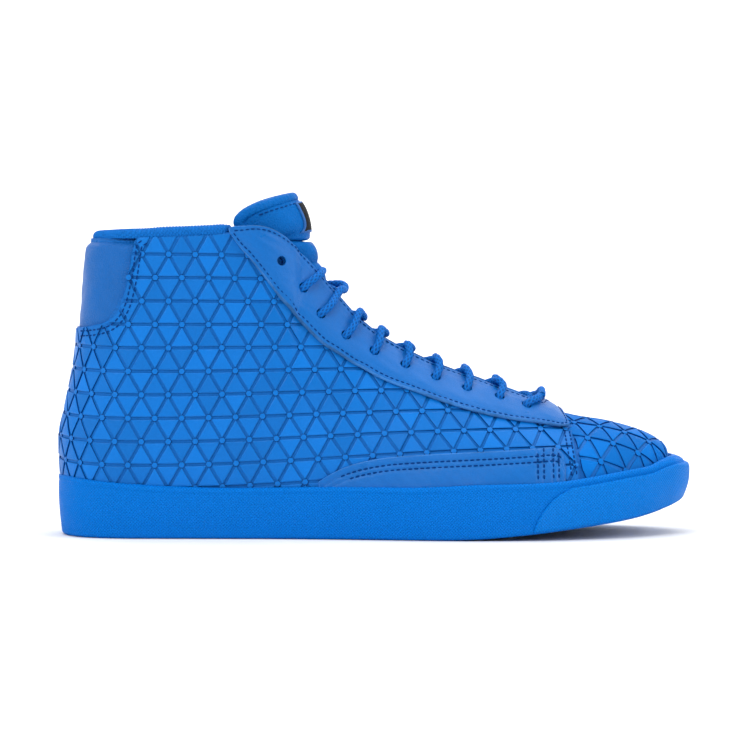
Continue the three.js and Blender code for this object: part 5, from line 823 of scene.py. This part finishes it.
# ---------------------------------------------------------------- collar
hx_ = [-69.4, -76, -84, -92, -100, -108]; xo = np.array(hx_)
def a_of(x, z): t_ = (x - heel_back(z)) / 34; return np.where(t_ < 1, np.arccos(np.clip(1 - t_, -1, 1)) / (np.pi / 2), t_)
xo = xo[:5]; ca = np.concatenate([-a_of(xo, collar_z(xo) + .2), np.linspace(-.9, .9, 13), a_of(xo, collar_z(xo) + .2)[::-1]]); cz = np.concatenate([collar_z(xo) + .2, 142.3 + .5 * np.abs(np.linspace(-.9, .9, 13)), (collar_z(xo) + .2)[::-1]])
ca, cz = fine_cols(np.stack([ca, cz], -1), 900).T; P = PA(ca, cz); P = resample(P, n=560); cz = P[:, 2]; ca = np.interp(P[:, 0], [-141, -104], [0, 1]); Tn = unit(np.gradient(P, axis=0)); nm = unit(np.stack([Tn[:, 1], -Tn[:, 0], 0 * Tn[:, 0]], -1)); nm = np.where((nm * oA(P)).sum(-1, keepdims=True) < 0, -nm, nm)
Sx = np.array([[0.25, -1.2], [0.45, 0.4], [0.2, 1.8], [-1.2, 3.2], [-4.2, 3.8], [-7.2, 3.1], [-8.5, 1.4], [-8.6, -0.4], [-8.2, -0.5], [-6.4, 0.4], [-4.2, 0.8], [-2.0, 0.4], [-0.2, -0.6], [-0.1, -1.6]])
Sc = np.vstack([Sx, Sx[:1]]); sd = np.concatenate([[0], np.cumsum(np.hypot(*np.diff(Sc, axis=0).T))]); k = np.linspace(0, sd[-1], 41)[:-1]; Sf = np.stack([np.interp(k, sd, Sc[:, 0]), np.interp(k, sd, Sc[:, 1])], -1); Sf = ring_smooth(Sf, 2)
arc = np.concatenate([[0], np.cumsum(np.linalg.norm(np.diff(P, axis=0), axis=-1))]); cen = Sf.mean(0); outv = Sf - cen; ou = outv / np.hypot(*outv.T)[:, None]
rib = 0.2 * np.cos(2 * np.pi * (arc[:, None] / 1.5 + np.arange(40)[None] / 40 * 2)); endt = np.clip(np.minimum(arc, arc[-1] - arc) / 3, 0, 1); endt = np.sqrt(1 - (1 - endt) ** 2) * .75 + .25
L2 = cen[None, None] + outv[None] * endt[:, None, None] + ou[None] * (rib * endt[:, None])[..., None]
nm[:, 2] = 0; nm = unit(ring_smooth(nm, 3)); P = P - nm * (0.6 + 4.2 * (1 - smooth(ca)))[:, None]; L2 = L2 * (0.84 + .16 * smooth(ca))[:, None, None]
Lp = P[:, None] + nm[:, None] * L2[..., :1]; Lp[..., 2] = cz[:, None] + L2[..., 1]
o = sweep("collar_roll", Lp, M["webbing"]); done(o, "shoe", "webbing", "collar_binding"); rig.padded(o, fill=0.9)
lst = [58, 42, 26, 10, -6, -22, -36, -48, -58, -68, -78, -88, -98, -108, -118]; CC = [(x, -1) for x in lst] + [(-a, 0) for a in (.75, .5, .25)] + [(0.0, 0)] + [(a, 0) for a in (.25, .5, .75)] + [(x, 1) for x in lst[::-1]]
tl = np.linspace(0, 1, 9); AA = []
for x, s in CC:
    if s:
        top = float(collar_z(x)) - .2 if x < -69.2 else 141.5 if x < -52 else min(float(q_top(np.float64(x))) - 18, 141); z = lerp(float(bottom_z(x)) + 3.2, top, tl); AA.append(np.stack([s * a_of(np.full(9, float(x)), z), z], -1))
    else: AA.append(np.stack([np.full(9, float(x)), lerp(15.6, 142.2, tl)], -1))
AA = fine_cols(np.array(AA), 329); AA = np.swapaxes(fine_cols(np.swapaxes(AA, 0, 1), 113), 0, 1); av = np.where(np.abs(AA[..., 0]) < 1e-3, 1e-3, AA[..., 0]); P = PA(av, AA[..., 1]); N = grid_normals(P, oA(P))
X, Z = P[..., 0], P[..., 1 + 1]; zone = smooth((Z - 78) / 20) * smooth((-58 - X) / 14); dep = -4.5 - 6.0 * zone * (1 - 0.32 * smooth((Z - 132) / 10)) - 0.9 * zone * np.sin(np.pi * np.clip((Z - 96) / 44, 0, 1)) ** .6 + 0.5 * zone * np.exp(-((Z - 97) / 1.6) ** 2)
dep = dep + 0.12 * np.sin(X * .35 + Z * .2) * zone
o = leather("collar_lining", P + N * dep[..., None], P + N * (dep[..., None] + .9), [M["lining"]] * 3, k=8); done(o, "shoe", "lining", "quarter_lining"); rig.padded(o, fill=0.7)

# ---------------------------------------------------------------- tongue
LACE = np.array([[-56.1,-26.3,77.1],[-56.5,-25.5,84.1],[-56.9,-24.7,91.1],[-56,-24,99.1],[-55,-23.3,107.1],[-49,-21.6,118.6],[-42.1,-17.4,124.7],[-33.7,-8.7,124],[-25.1,-10.2,126.3],[-26.2,-19,124.6],[-30.3,-23.5,121.3],[-33.8,-23.9,118.3],[-36.6,-19,116.6],[-35.2,-15.3,117.7],[-29.5,-9.4,118.8],[-20.8,-3.5,117.5],[-18.6,0.1,115.9],[-19.6,3.3,114.6],[-16.2,12.2,117.3],[-18.9,17.3,113.1],[-21.5,22.4,108.9],[-25.3,23.1,106.1],[-27.9,18,104.3],[-26.7,14.4,105.4],[-19.2,7.1,106.8],[-7.5,3.6,104.7],[-5.3,0.1,104.5],[-5.3,-3.5,103.6],[-7.2,-14.3,106.9],[-10.4,-23.3,99.6],[-13.6,-24.4,96],[-15.9,-19.6,93.4],[-15,-15.7,94.6],[-9.2,-8.8,96.7],[1.4,-3.1,92.7],[2.6,0.3,92.5],[1.8,3.6,91.5],[3,12.6,98.3],[2.2,18.1,92.3],[-0.3,18.9,88.2],[-2,14,85.4],[-1.1,10.2,86.7],[3.6,6.4,88],[14.4,3.7,89.8],[17.1,0.5,89.9],[17.9,-2.9,88.7],[15.8,-15.1,91.2],[16.7,-20.7,86.6],[14.4,-23.3,82],[12.9,-19.2,78.1],[13.5,-14.6,79.2],[17.2,-10.4,80.1],[26.2,-2.2,79.3],[28.1,1.1,78.8],[28.9,4.4,77.7],[29.3,13.5,84.6],[30.6,17.7,80.7],[28.7,19.8,76],[27.5,15.4,72.2],[28,11.2,73.3],[31.9,8.3,73.9],[42.1,4.9,77.9],[44,1.7,78.1],[45,-1.7,77.2],[43.5,-14.5,79.7],[45.4,-20.2,76.1],[43.8,-24.3,71.1],[42.7,-20.8,66.4],[43.1,-15.2,67.5],[46.5,-11,68.3],[55.8,-0.9,68.5],[57.5,2.4,68.1],[57.9,5.7,67.6],[58.4,17,74.3],[60.8,19.9,71.9],[59.1,23.7,66.9],[58.2,20.1,62.4],[58.5,14.8,63.4],[61.1,13.2,63.3],[72.2,6.6,66.5],[73.5,3.1,66.4],[74.8,-0.1,65.2],[68,-10.8,60.5],[70.2,-12.5,59.1],[70.1,-20.2,58.1],[72.1,-22.9,63],[74.2,-15.9,67.9],[79.1,-26.7,60.7],[79.4,-19.4,63.7],[79.8,-12.2,66.7],[80.1,-4.3,67.7],[80.3,3.5,68.7],[79.6,16.9,66.7],[78.7,29.2,60.6],[74,19.4,67.9],[71.9,24.9,62.9],[70.4,21.7,58.2],[70.5,15.4,59.2],[68.2,13.8,60.5],[72.5,6.4,60.9],[71.2,3.1,62],[70,-0.8,62.3],[65.4,-6.1,62.7],[60.8,-11.4,63.2],[58.1,-14,63.3],[57.8,-20.5,62.2],[59.3,-23.6,67],[61.2,-18.2,72],[58.6,-15.1,74.4],[59.2,-8,73.3],[59.7,-0.9,72.1],[59.3,2.4,72.8],[57.5,5.5,72.9],[46.9,11,68.5],[43.6,13.5,67.8],[43.1,18,66.7],[43.5,22.2,70.9],[45.1,19.7,75.8],[43.2,14.9,79.5],[43.4,5,72.6],[42.4,1.7,73.4],[40.7,-1.6,73.6],[31.5,-9.7,73.6],[27.5,-14.3,72.9],[27.1,-19.7,71.9],[28.9,-23.3,76.1],[31,-19.5,81],[29.6,-14.3,84.8],[31.1,-2.7,82.4],[30,1,83.4],[27.6,4.4,83.4],[17.6,7.5,80.4],[13.9,10.2,79.7],[13.2,14.1,78.5],[14.3,18.8,81.8],[16.4,17.6,86.2],[15.5,13.3,90.9],[15,3.8,84.2],[14.7,0.6,85.5],[12.9,-2.8,86],[3.5,-9.4,87.6],[-1.2,-14.3,86.2],[-2,-18.5,85],[-0.2,-23,88.4],[2.3,-21.3,92.7],[3.1,-14.2,98.6],[5.3,-3.2,95.9],[5.2,0.3,96.8],[2.8,3.7,96.5],[-9,6.4,97],[-15.1,12.4,95],[-16,16.1,93.7],[-13.6,21.1,95.8],[-10.4,20.4,99.3],[-7.2,12.8,106.7],[-9.4,3.5,100],[-8.7,0.2,100.9],[-9.8,-3.5,101.2],[-19.3,-8.7,106.6],[-26.5,-16.3,105.1],[-27.7,-19.9,104.1],[-25.4,-25,106.2],[-21.7,-24.3,109.1],[-18.9,-18.7,113.3],[-16.2,-13.1,117.5],[-14.7,-3.3,116.9],[-14.2,0,118.5],[-16.9,3.4,119.9],[-29.5,8.5,118.9],[-35.4,14.6,117.9],[-36.8,18.4,116.8],[-33.7,23.2,118.3],[-30.1,22.7,121.1],[-26.1,18.2,124.5],[-25.1,9.6,126.3],[-33.7,8.1,124.1],[-42.1,17,124.8],[-49.1,21.5,118.8],[-55.1,22.8,107.5],[-56.2,23.2,99.5],[-57.3,23.6,91.5],[-56.7,24.3,77.6]])
def smooth_line(Pt, step=.5, sig=1.2):
    s_ = np.concatenate([[0], np.cumsum(np.linalg.norm(np.diff(Pt, axis=0), axis=-1))]); n_ = int(s_[-1] / step) + 1; t_ = np.linspace(0, s_[-1], n_); Q = np.stack([pchip(s_, Pt[:, c])(t_) for c in range(3)], -1)
    k = int(4 * sig / step); w_ = np.exp(-.5 * (np.arange(-k, k + 1) * step / sig) ** 2); w_ /= w_.sum(); pad = np.concatenate([np.repeat(Q[:1], k, 0), Q, np.repeat(Q[-1:], k, 0)]); return np.stack([np.convolve(pad[:, c], w_, "valid") for c in range(3)], -1)
bar = [(71.5, 61.4, 2.7), (73.9, 61.9, 3.65), (76.7, 62.8, 3.65), (78.9, 64.4, 3.65)]
side_bar = lambda s: [on_b(x, z, s, d)[0] for x, z, d in bar]
LACE = np.vstack([LACE[:85], side_bar(-1), LACE[89:92], LACE[92:93], side_bar(1)[::-1], LACE[96:]])
LQ = smooth_line(LACE)[::2]
def dent(G, N, d, low, R=1.98):
    """a padded face gives way under the lace; low is the deepest that it may go"""
    S = (G + N * d[..., None]).reshape(-1, 3); n_ = N.reshape(-1, 3); need = np.zeros(len(S))
    for c in range(0, len(S), 400):
        D = LQ[None] - S[c:c + 400, None]; h = (D * n_[c:c + 400, None]).sum(-1); r2 = (D * D).sum(-1) - h * h
        need[c:c + 400] = np.where((r2 < R * R) & (np.abs(h) < 4), h - np.sqrt(np.clip(R * R - r2, 0, None)), 0).min(1)
    need = np.minimum(need, 0).reshape(d.shape); soft = need.copy()
    for _ in range(6):
        soft[1:-1] = .5 * soft[1:-1] + .25 * (soft[2:] + soft[:-2]); soft[:, 1:-1] = .5 * soft[:, 1:-1] + .25 * (soft[:, 2:] + soft[:, :-2])
    out = np.maximum(d + np.minimum(need, soft), low); print("dent under the lace mm", round(float((d - out).max()), 2), "points", int((need < 0).sum()), "held up by the thickness", int((out > d + need + 1e-6).sum())); return out
def ridge_in(x, dd): P, N = PB(np.float64(x), np.float64(0)), None; e = .6; du = PB(x + e, 0.) - PB(x - e, 0.); n = unit(np.array([-du[2], 0, du[0]])); n = n if n[2] > 0 else -n; P = P + n * dd; return P[0], P[2]
RW = [[82, 50.5, 77.5, 58.5, *ridge_in(79.5, -8.6)], [68, 54, 66, 66.6, *ridge_in(69, -8.2)], [52, 57.5, 52, 72.0, *ridge_in(55, -8)], [35, 62, 38, 77.0, *ridge_in(41, -8)], [17, 68.5, 23, 83.0, *ridge_in(27, -8)], [1, 76, 9, 90.0, *ridge_in(13, -8)], [-13, 85, -4, 99.0, *ridge_in(0, -8)], [-24, 94, -13.5, 108.0, *ridge_in(-9, -7.6)],
      [-35, 105, -20.4, 116.6, -18.6, 110.6], [-44, 116, -27.2, 124.4, -24.6, 121], [-52, 127, -34.5, 133, -28.8, 132.6, 2.2], [-56.4, 134.5, -42.2, 141.6, -31.4, 140.4, 4.4]]
def tongue_row(r, vs):
    out = []
    E = {s: on_b(np.array([r[2]]), np.array([r[3]]), s, -9.1)[0][0] for s in (-1, 1)}
    for v in vs:
        s, m = (-1, -v) if v < 0 else (1, v)
        if m <= .5:
            u = m / .5 * np.pi / 2; k = max(np.cos(u), 0) ** 1.15; c = float(centre(r[4])); out.append([lerp(E[s][0], r[4], k), c + (E[s][1] - c) * np.sin(u), lerp(E[s][2], r[5], k)])
        else:
            t_ = (m - .5) / .5; out.append(on_b(np.array([lerp(r[2], r[0], t_)]), np.array([lerp(r[3], r[1], t_)]), s, -9.1 - t_ * (r[6] if len(r) > 6 else 0))[0][0])
    return out
def flap_row(xc, zc, xw, zw, yw, vs, kp=.85): u = np.abs(vs) * np.pi / 2; c_ = np.maximum(np.cos(u), 0); return np.stack([lerp(xw, xc, c_ ** .85), np.sign(vs) * yw * np.sin(u), lerp(zw, zc, c_ ** kp)], -1)
VS = np.linspace(-1, 1, 97); BR = np.array([tongue_row(r, VS) for r in RW]); seam_row = BR[-1] + np.array([-.25, 0, .62])
FR = np.array([seam_row, flap_row(-33.2, 148.2, -60.6, 140.8, 19.8, VS, .75), flap_row(-35.4, 155.6, -63.4, 145.8, 20.2, VS, .62), flap_row(-38.6, 162.2, -65.4, 149.6, 20.8, VS, .5)])
thin = 1 - .55 * smooth((np.abs(VS) - .6) / .4); tdir = np.array([.7, 0, .7])
def gsurf(rows, n):
    G = fine_cols(rows, n)
    for _ in range(3): G[:, 1:-1] = .5 * G[:, 1:-1] + .25 * (G[:, 2:] + G[:, :-2])
    N = unit(np.cross(np.gradient(G, axis=0), np.gradient(G, axis=1))); return G, N * np.sign((N[:, 48] @ tdir).mean())
G, N = gsurf(BR, 177); rr = np.linspace(0, 11, 177)[:, None]; zc = G[:, 48, 2][:, None]
seams = [139.8, 130.2, 119.4]; pf = np.zeros((177, 1))
for a, b in ((130.2, 140.4), (119.4, 130.2), (106, 119.4)): t_ = np.clip((zc - a) / (b - a), 0, 1); pf = np.maximum(pf, 2.0 * np.sin(np.pi * t_) ** .6 * ((zc > a) & (zc < b)))
edge_v = np.clip((1 - np.abs(VS)) / .06, 0, 1)[None]; mid_v = (1 - .7 * smooth((np.abs(VS) - .42) / .12))[None]
d = pf * mid_v + .08 * np.sin(G[..., 2] * .6 + G[..., 1] * .4) * np.sin(G[..., 1] * .5); d = bevelled(G, d, 1.1)
lacing = smooth((112 - zc) / 12); d = d - 0.3 * lacing
dn = -6.1 * thin[None] * np.ones_like(d); d = dent(G, N, d, dn + .8); o = leather("tongue_body", G + N * d[..., None], G + N * dn[..., None], [M["tongue"], M["tongue"], M["lining"]], k=8)
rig.replaces(o, "tongue_shell", "tongue_foam", "tongue_lining"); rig.slot(o, "tongue_leather"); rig.blend(o, "shoe", "tongue", start=(0.079, .0018, .056), end=(0.058, .0018, .064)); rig.padded(o, fill=0.7)
G, N = gsurf(FR, 65); FG, FN = G, N; rr = np.linspace(0, 3, 65)[:, None]
d = 1.8 * np.sin(np.pi * np.clip((rr - .02) / 2.75, 0, 1)) ** .5 * (1 - .55 * smooth((np.abs(VS) - .55) / .4))[None] + .12 * np.sin(G[..., 1] * .7 + G[..., 2] * .5) * np.sin(G[..., 1] * .33); d = bevelled(G, d, .9)
dn = -(6.3 * thin)[None] - .8 * np.sin(np.pi * np.clip(rr / 2.6, 0, 1)) ** .6; cutb = rr[:, 0] <= 2.98
o = leather("tongue_flap", G + N * d[..., None], G + N * dn[..., None], [M["tongue"], M["tongue"], M["lining"]], k=8)
BS, BE = (-.0315, .0018, .1400), (-.0335, .0018, .1480)
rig.replaces(o, "tongue_flap_shell", "tongue_flap_foam", "tongue_flap_lining"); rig.slot(o, "tongue_leather"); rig.blend(o, "tongue", "tongue_flap", start=BS, end=BE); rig.padded(o, fill=0.8)
# rolled edge over the top of the tongue
rp = np.concatenate([G[6:-1, 0], G[-1], G[6:-1, -1][::-1]]); rn = np.concatenate([N[6:-1, 0], N[-1], N[6:-1, -1][::-1]]); rw = 6.2 * np.concatenate([np.full(58, thin[0]), thin, np.full(58, thin[0])])
s_ = np.concatenate([[0], np.cumsum(np.linalg.norm(np.diff(rp, axis=0), axis=-1))]); k = np.linspace(0, s_[-1], 340); ii = lambda A_: np.stack([np.interp(k, s_, A_[:, c]) for c in range(A_.shape[1])], -1)
row, nrm, wt = ii(rp), ii(rn), np.interp(k, s_, rw)
for _ in range(26): row[1:-1] = .5 * row[1:-1] + .25 * (row[2:] + row[:-2]); nrm[1:-1] = .5 * nrm[1:-1] + .25 * (nrm[2:] + nrm[:-2])
nrm = unit(nrm); up_ = unit(np.cross(unit(np.gradient(row, axis=0)), nrm)); mid_ = row[170] - G[20, 48]; up_ = up_ * np.sign(up_[170] @ mid_)
lp = []
for i in range(340):
    w0 = wt[i]; ex = .25 + .75 * np.sqrt(1 - (1 - min(i, 339 - i, 14) / 14) ** 2); S2 = [[.9, -2.7], [1.35, -1.5], [1.3, 0.2], [.5, 1.8], [-w0 / 2, 2.6], [-w0 + .2, 1.8], [-w0 - .8, .4], [-w0 - .9, -1.2], [-w0 - .6, -2.6], [-w0 * .8, -2.4], [-w0 / 2, -1.6], [-.2, -2.4]]
    S2 = np.array(S2); cl = np.vstack([S2, S2[:1]]); sd = np.concatenate([[0], np.cumsum(np.hypot(*np.diff(cl, axis=0).T))]); kk = np.linspace(0, sd[-1], 29)[:-1]; S3 = ring_smooth(np.stack([np.interp(kk, sd, cl[:, 0]), np.interp(kk, sd, cl[:, 1])], -1), 2); cc = S3.mean(0); S3 = cc + (S3 - cc) * ex * (1 + .012 * np.sin(i * .9))
    lp.append(row[i] + nrm[i] * S3[:, :1] + up_[i] * S3[:, 1:])
o = sweep("tongue_roll", np.array(lp), M["tongue"]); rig.replaces(o, "tongue_binding"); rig.slot(o, "tongue_leather"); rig.blend(o, "tongue", "tongue_flap", start=BS, end=BE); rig.padded(o, fill=0.9)
# plain folded tape label
gi = fine_cols(G[10:54], 73); ni = unit(fine_cols(N[10:54], 73)); gi = gi[:, 34:63]; ni = ni[:, 34:63]; gi = np.swapaxes(fine_cols(np.swapaxes(gi, 0, 1), 49), 0, 1); ni = unit(np.swapaxes(fine_cols(np.swapaxes(ni, 0, 1), 49), 0, 1))
dd = np.interp(np.linspace(10, 53, 73), np.arange(65), d[:, 48])[:, None] + .1; b = bevelled(gi, dd + .75 + 0 * gi[..., 0], .3); o = leather("tongue_tape", gi + ni * b[..., None], gi + ni * (dd + .05)[..., None], [M["label"], M["label_edge"], M["label"]], k=8)
e = rim_dist(gi); mi = np.zeros(len(o.data.polygons), int); o.data.polygons.foreach_get("material_index", mi); nq = 72 * 48; ec = e[:-1, :-1].ravel(); mi[:nq] = np.where(ec < .9, 1, 0); o.data.polygons.foreach_set("material_index", mi)
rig.replaces(o, "tongue_label"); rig.slot(o, "label_tape"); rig.blend(o, "tongue", "tongue_flap", start=BS, end=BE)

# ---------------------------------------------------------------- lace
Q = smooth_line(LACE); T_, U_, B_ = frames(Q); s_ = np.concatenate([[0], np.cumsum(np.linalg.norm(np.diff(Q, axis=0), axis=-1))]); w = np.arange(30) * 2 * np.pi / 30
ph = 2 * np.pi * s_[:, None] / 2.7; bra = np.maximum(np.cos(5 * w[None] + ph), np.cos(5 * w[None] - ph)); rad = 1.62 + .22 * bra
# the groove attribute rises where the braid's surface dips: painted shade between the strands
Lp = Q[:, None] + rad[..., None] * (np.cos(w)[None, :, None] * U_[:, None] + np.sin(w)[None, :, None] * B_[:, None]); o = sweep("shoelace", Lp, M["lace"], attrs={"groove": np.clip(.45 - bra, 0, 1) * .9}); done(o, "shoe", "lace", "lace"); print("lace length mm", round(float(s_[-1]), 1))
for nm_, p, q in (("aglet_tip_a", LACE[0], LACE[2]), ("aglet_tip_b", LACE[-1], LACE[-3])):
    u_ = unit(p - q); k = np.array([0.1, .6, 2, 5, 9, 13, 16.5, 17.6, 18]); P = p + u_ * k[:, None]; r_ = np.array([1.5, 1.68, 1.7, 1.62, 1.68, 1.62, 1.6, 1.3, .8]); o = sweep(nm_, tube_loops(P, r_, 20), M["film"]); done(o, "shoe", "film", nm_.replace("_tip", ""))

# ---------------------------------------------------------------- stitching
def stay_line(inset, from_throat, c0=0, c1=NCOL, dh=1.75):
    i = np.arange(c0, c1); f = np.clip(inset / W_[i], 0, 1); f = f if from_throat else 1 - f; q_ = SC[i, 0] + (SC[i, 1] - SC[i, 0]) * f[:, None]; P = PB(q_[:, 0], q_[:, 1]); e_ = .4
    n_ = unit(np.cross(PB(q_[:, 0] + e_, q_[:, 1]) - PB(q_[:, 0] - e_, q_[:, 1]), PB(q_[:, 0], q_[:, 1] + .02) - PB(q_[:, 0], q_[:, 1] - .02))); o_ = oB(P); n_ = np.where((n_ * o_).sum(-1, keepdims=True) < 0, -n_, n_); return P + n_ * (dh - .2), n_
# the dark thread carries the painted shade of the stitch holes
th_ = M["thread"]; stitches("eyestay_thread", [stay_line(2.3, True, 4, NCOL - 4), stay_line(2.1, False, 4, NCOL - 4)], th_, pitch=2.7, length=2.0, r=.3)
def pts(*a): return np.array(a, float)
for s in (-1, 1):
    side = "lateral" if s < 0 else "medial"; R = []
    def sl(P_, dh): P_ = resample(P_, step=1.0); A_ = skin(P_[:, 0], P_[:, 1], s, np.full(len(P_), dh)); R.append(A_)
    x = np.linspace(-19, 87.5, 120)
    for k in (3.6, 6.2):
        xx = np.linspace(-22 + k * 1.6, 88 - k * .4, 120); sl(np.stack([xx, guard_z(xx) - k], -1), 1.4)
    for X_ in (76.2, 79.0, 83.4, 86.0):
        zt_ = float(guard_z(X_)) - 1.0; zz = np.linspace(float(wall_top(X_)) + 1.0, zt_, 20); sl(np.stack([X_ + 0 * zz, zz], -1), 1.4)
    for k in (1.4, 3.8):
        zz = np.linspace(50.5, 30.5, 24); sl(np.stack([93.6 - k + (51 - zz) * .13, zz], -1), 0.05)
    te = np.array([p for p in tabu]); nrm2 = np.stack([np.gradient(te[:, 1]), -np.gradient(te[:, 0])], -1); nrm2 /= np.hypot(*nrm2.T)[:, None]; nrm2 *= np.sign((nrm2 @ np.array([1, -1])).sum())
    sl(te + nrm2 * 1.6, .05); sl(te + nrm2 * 4.0, .05)
    stitches(side + "_thread", R, th_, pitch=2.8, length=2.1, r=.34)
# seam threads on the tongue
def on_grid(G, N, i, d0): P = G[i, 6:91]; return P + N[i, 6:91] * d0, N[i, 6:91]
fl_ = [(FG[4, 22:75] + FN[4, 22:75] * .9, FN[4, 22:75]), (FG[52, 8:89] + FN[52, 8:89] * 1.15, FN[52, 8:89])]
o = stitches("tongue_thread", fl_[1:], th_, pitch=2.8, length=2.1, r=.3)
if o: o.parent = None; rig.ride(o, "tongue_flap")

# ---------------------------------------------------------------- kept parts, floor
for node, mat in dict(midsole_foam="foam", heel_counter="stiff", collar_foam="foam", toe_puff="stiff", vamp_lining="lining", insole_board="board").items():
    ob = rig.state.nodes[node] if not isinstance(frame["nodes"], dict) or not hasattr(frame["nodes"].get(node), "material_slots") else frame["nodes"][node]
    if len(ob.material_slots):
        for sl_ in ob.material_slots: sl_.link = "OBJECT"; sl_.material = M[mat]
    else: ob.data.materials.append(M[mat])
fm = material("floor", (0.9, 0.9, 0.9), dark=(0.86, 0.86, 0.86), light=(0.92, 0.92, 0.92), rough=0.8, mottling=0.01, bump=0.02)
cy = [(-6.0, 0.0), (1.6, 0.0)] + [(1.6 + 1.2 * math.sin(a), 1.2 - 1.2 * math.cos(a)) for a in np.linspace(0.1, math.pi / 2, 14)] + [(2.8, 4.0)]
fv = [(x, y, z) for y, z in cy for x in (-7.0, 7.0)]; fme = bpy.data.meshes.new("floor"); fme.from_pydata(fv, [], [(2*i, 2*i+1, 2*i+3, 2*i+2) for i in range(len(cy) - 1)]); fme.polygons.foreach_set("use_smooth", [True] * len(fme.polygons))
fl_o = bpy.data.objects.new("floor", fme); bpy.context.scene.collection.objects.link(fl_o); fl_o.data.materials.append(fm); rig.stage(fl_o)
json.dump({"cad": json.loads(json.dumps([list(map(float, b)) for b in CAD_BOX])), "visual": [list(map(float, b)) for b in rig.bounds()]}, open("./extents.json", "w"))
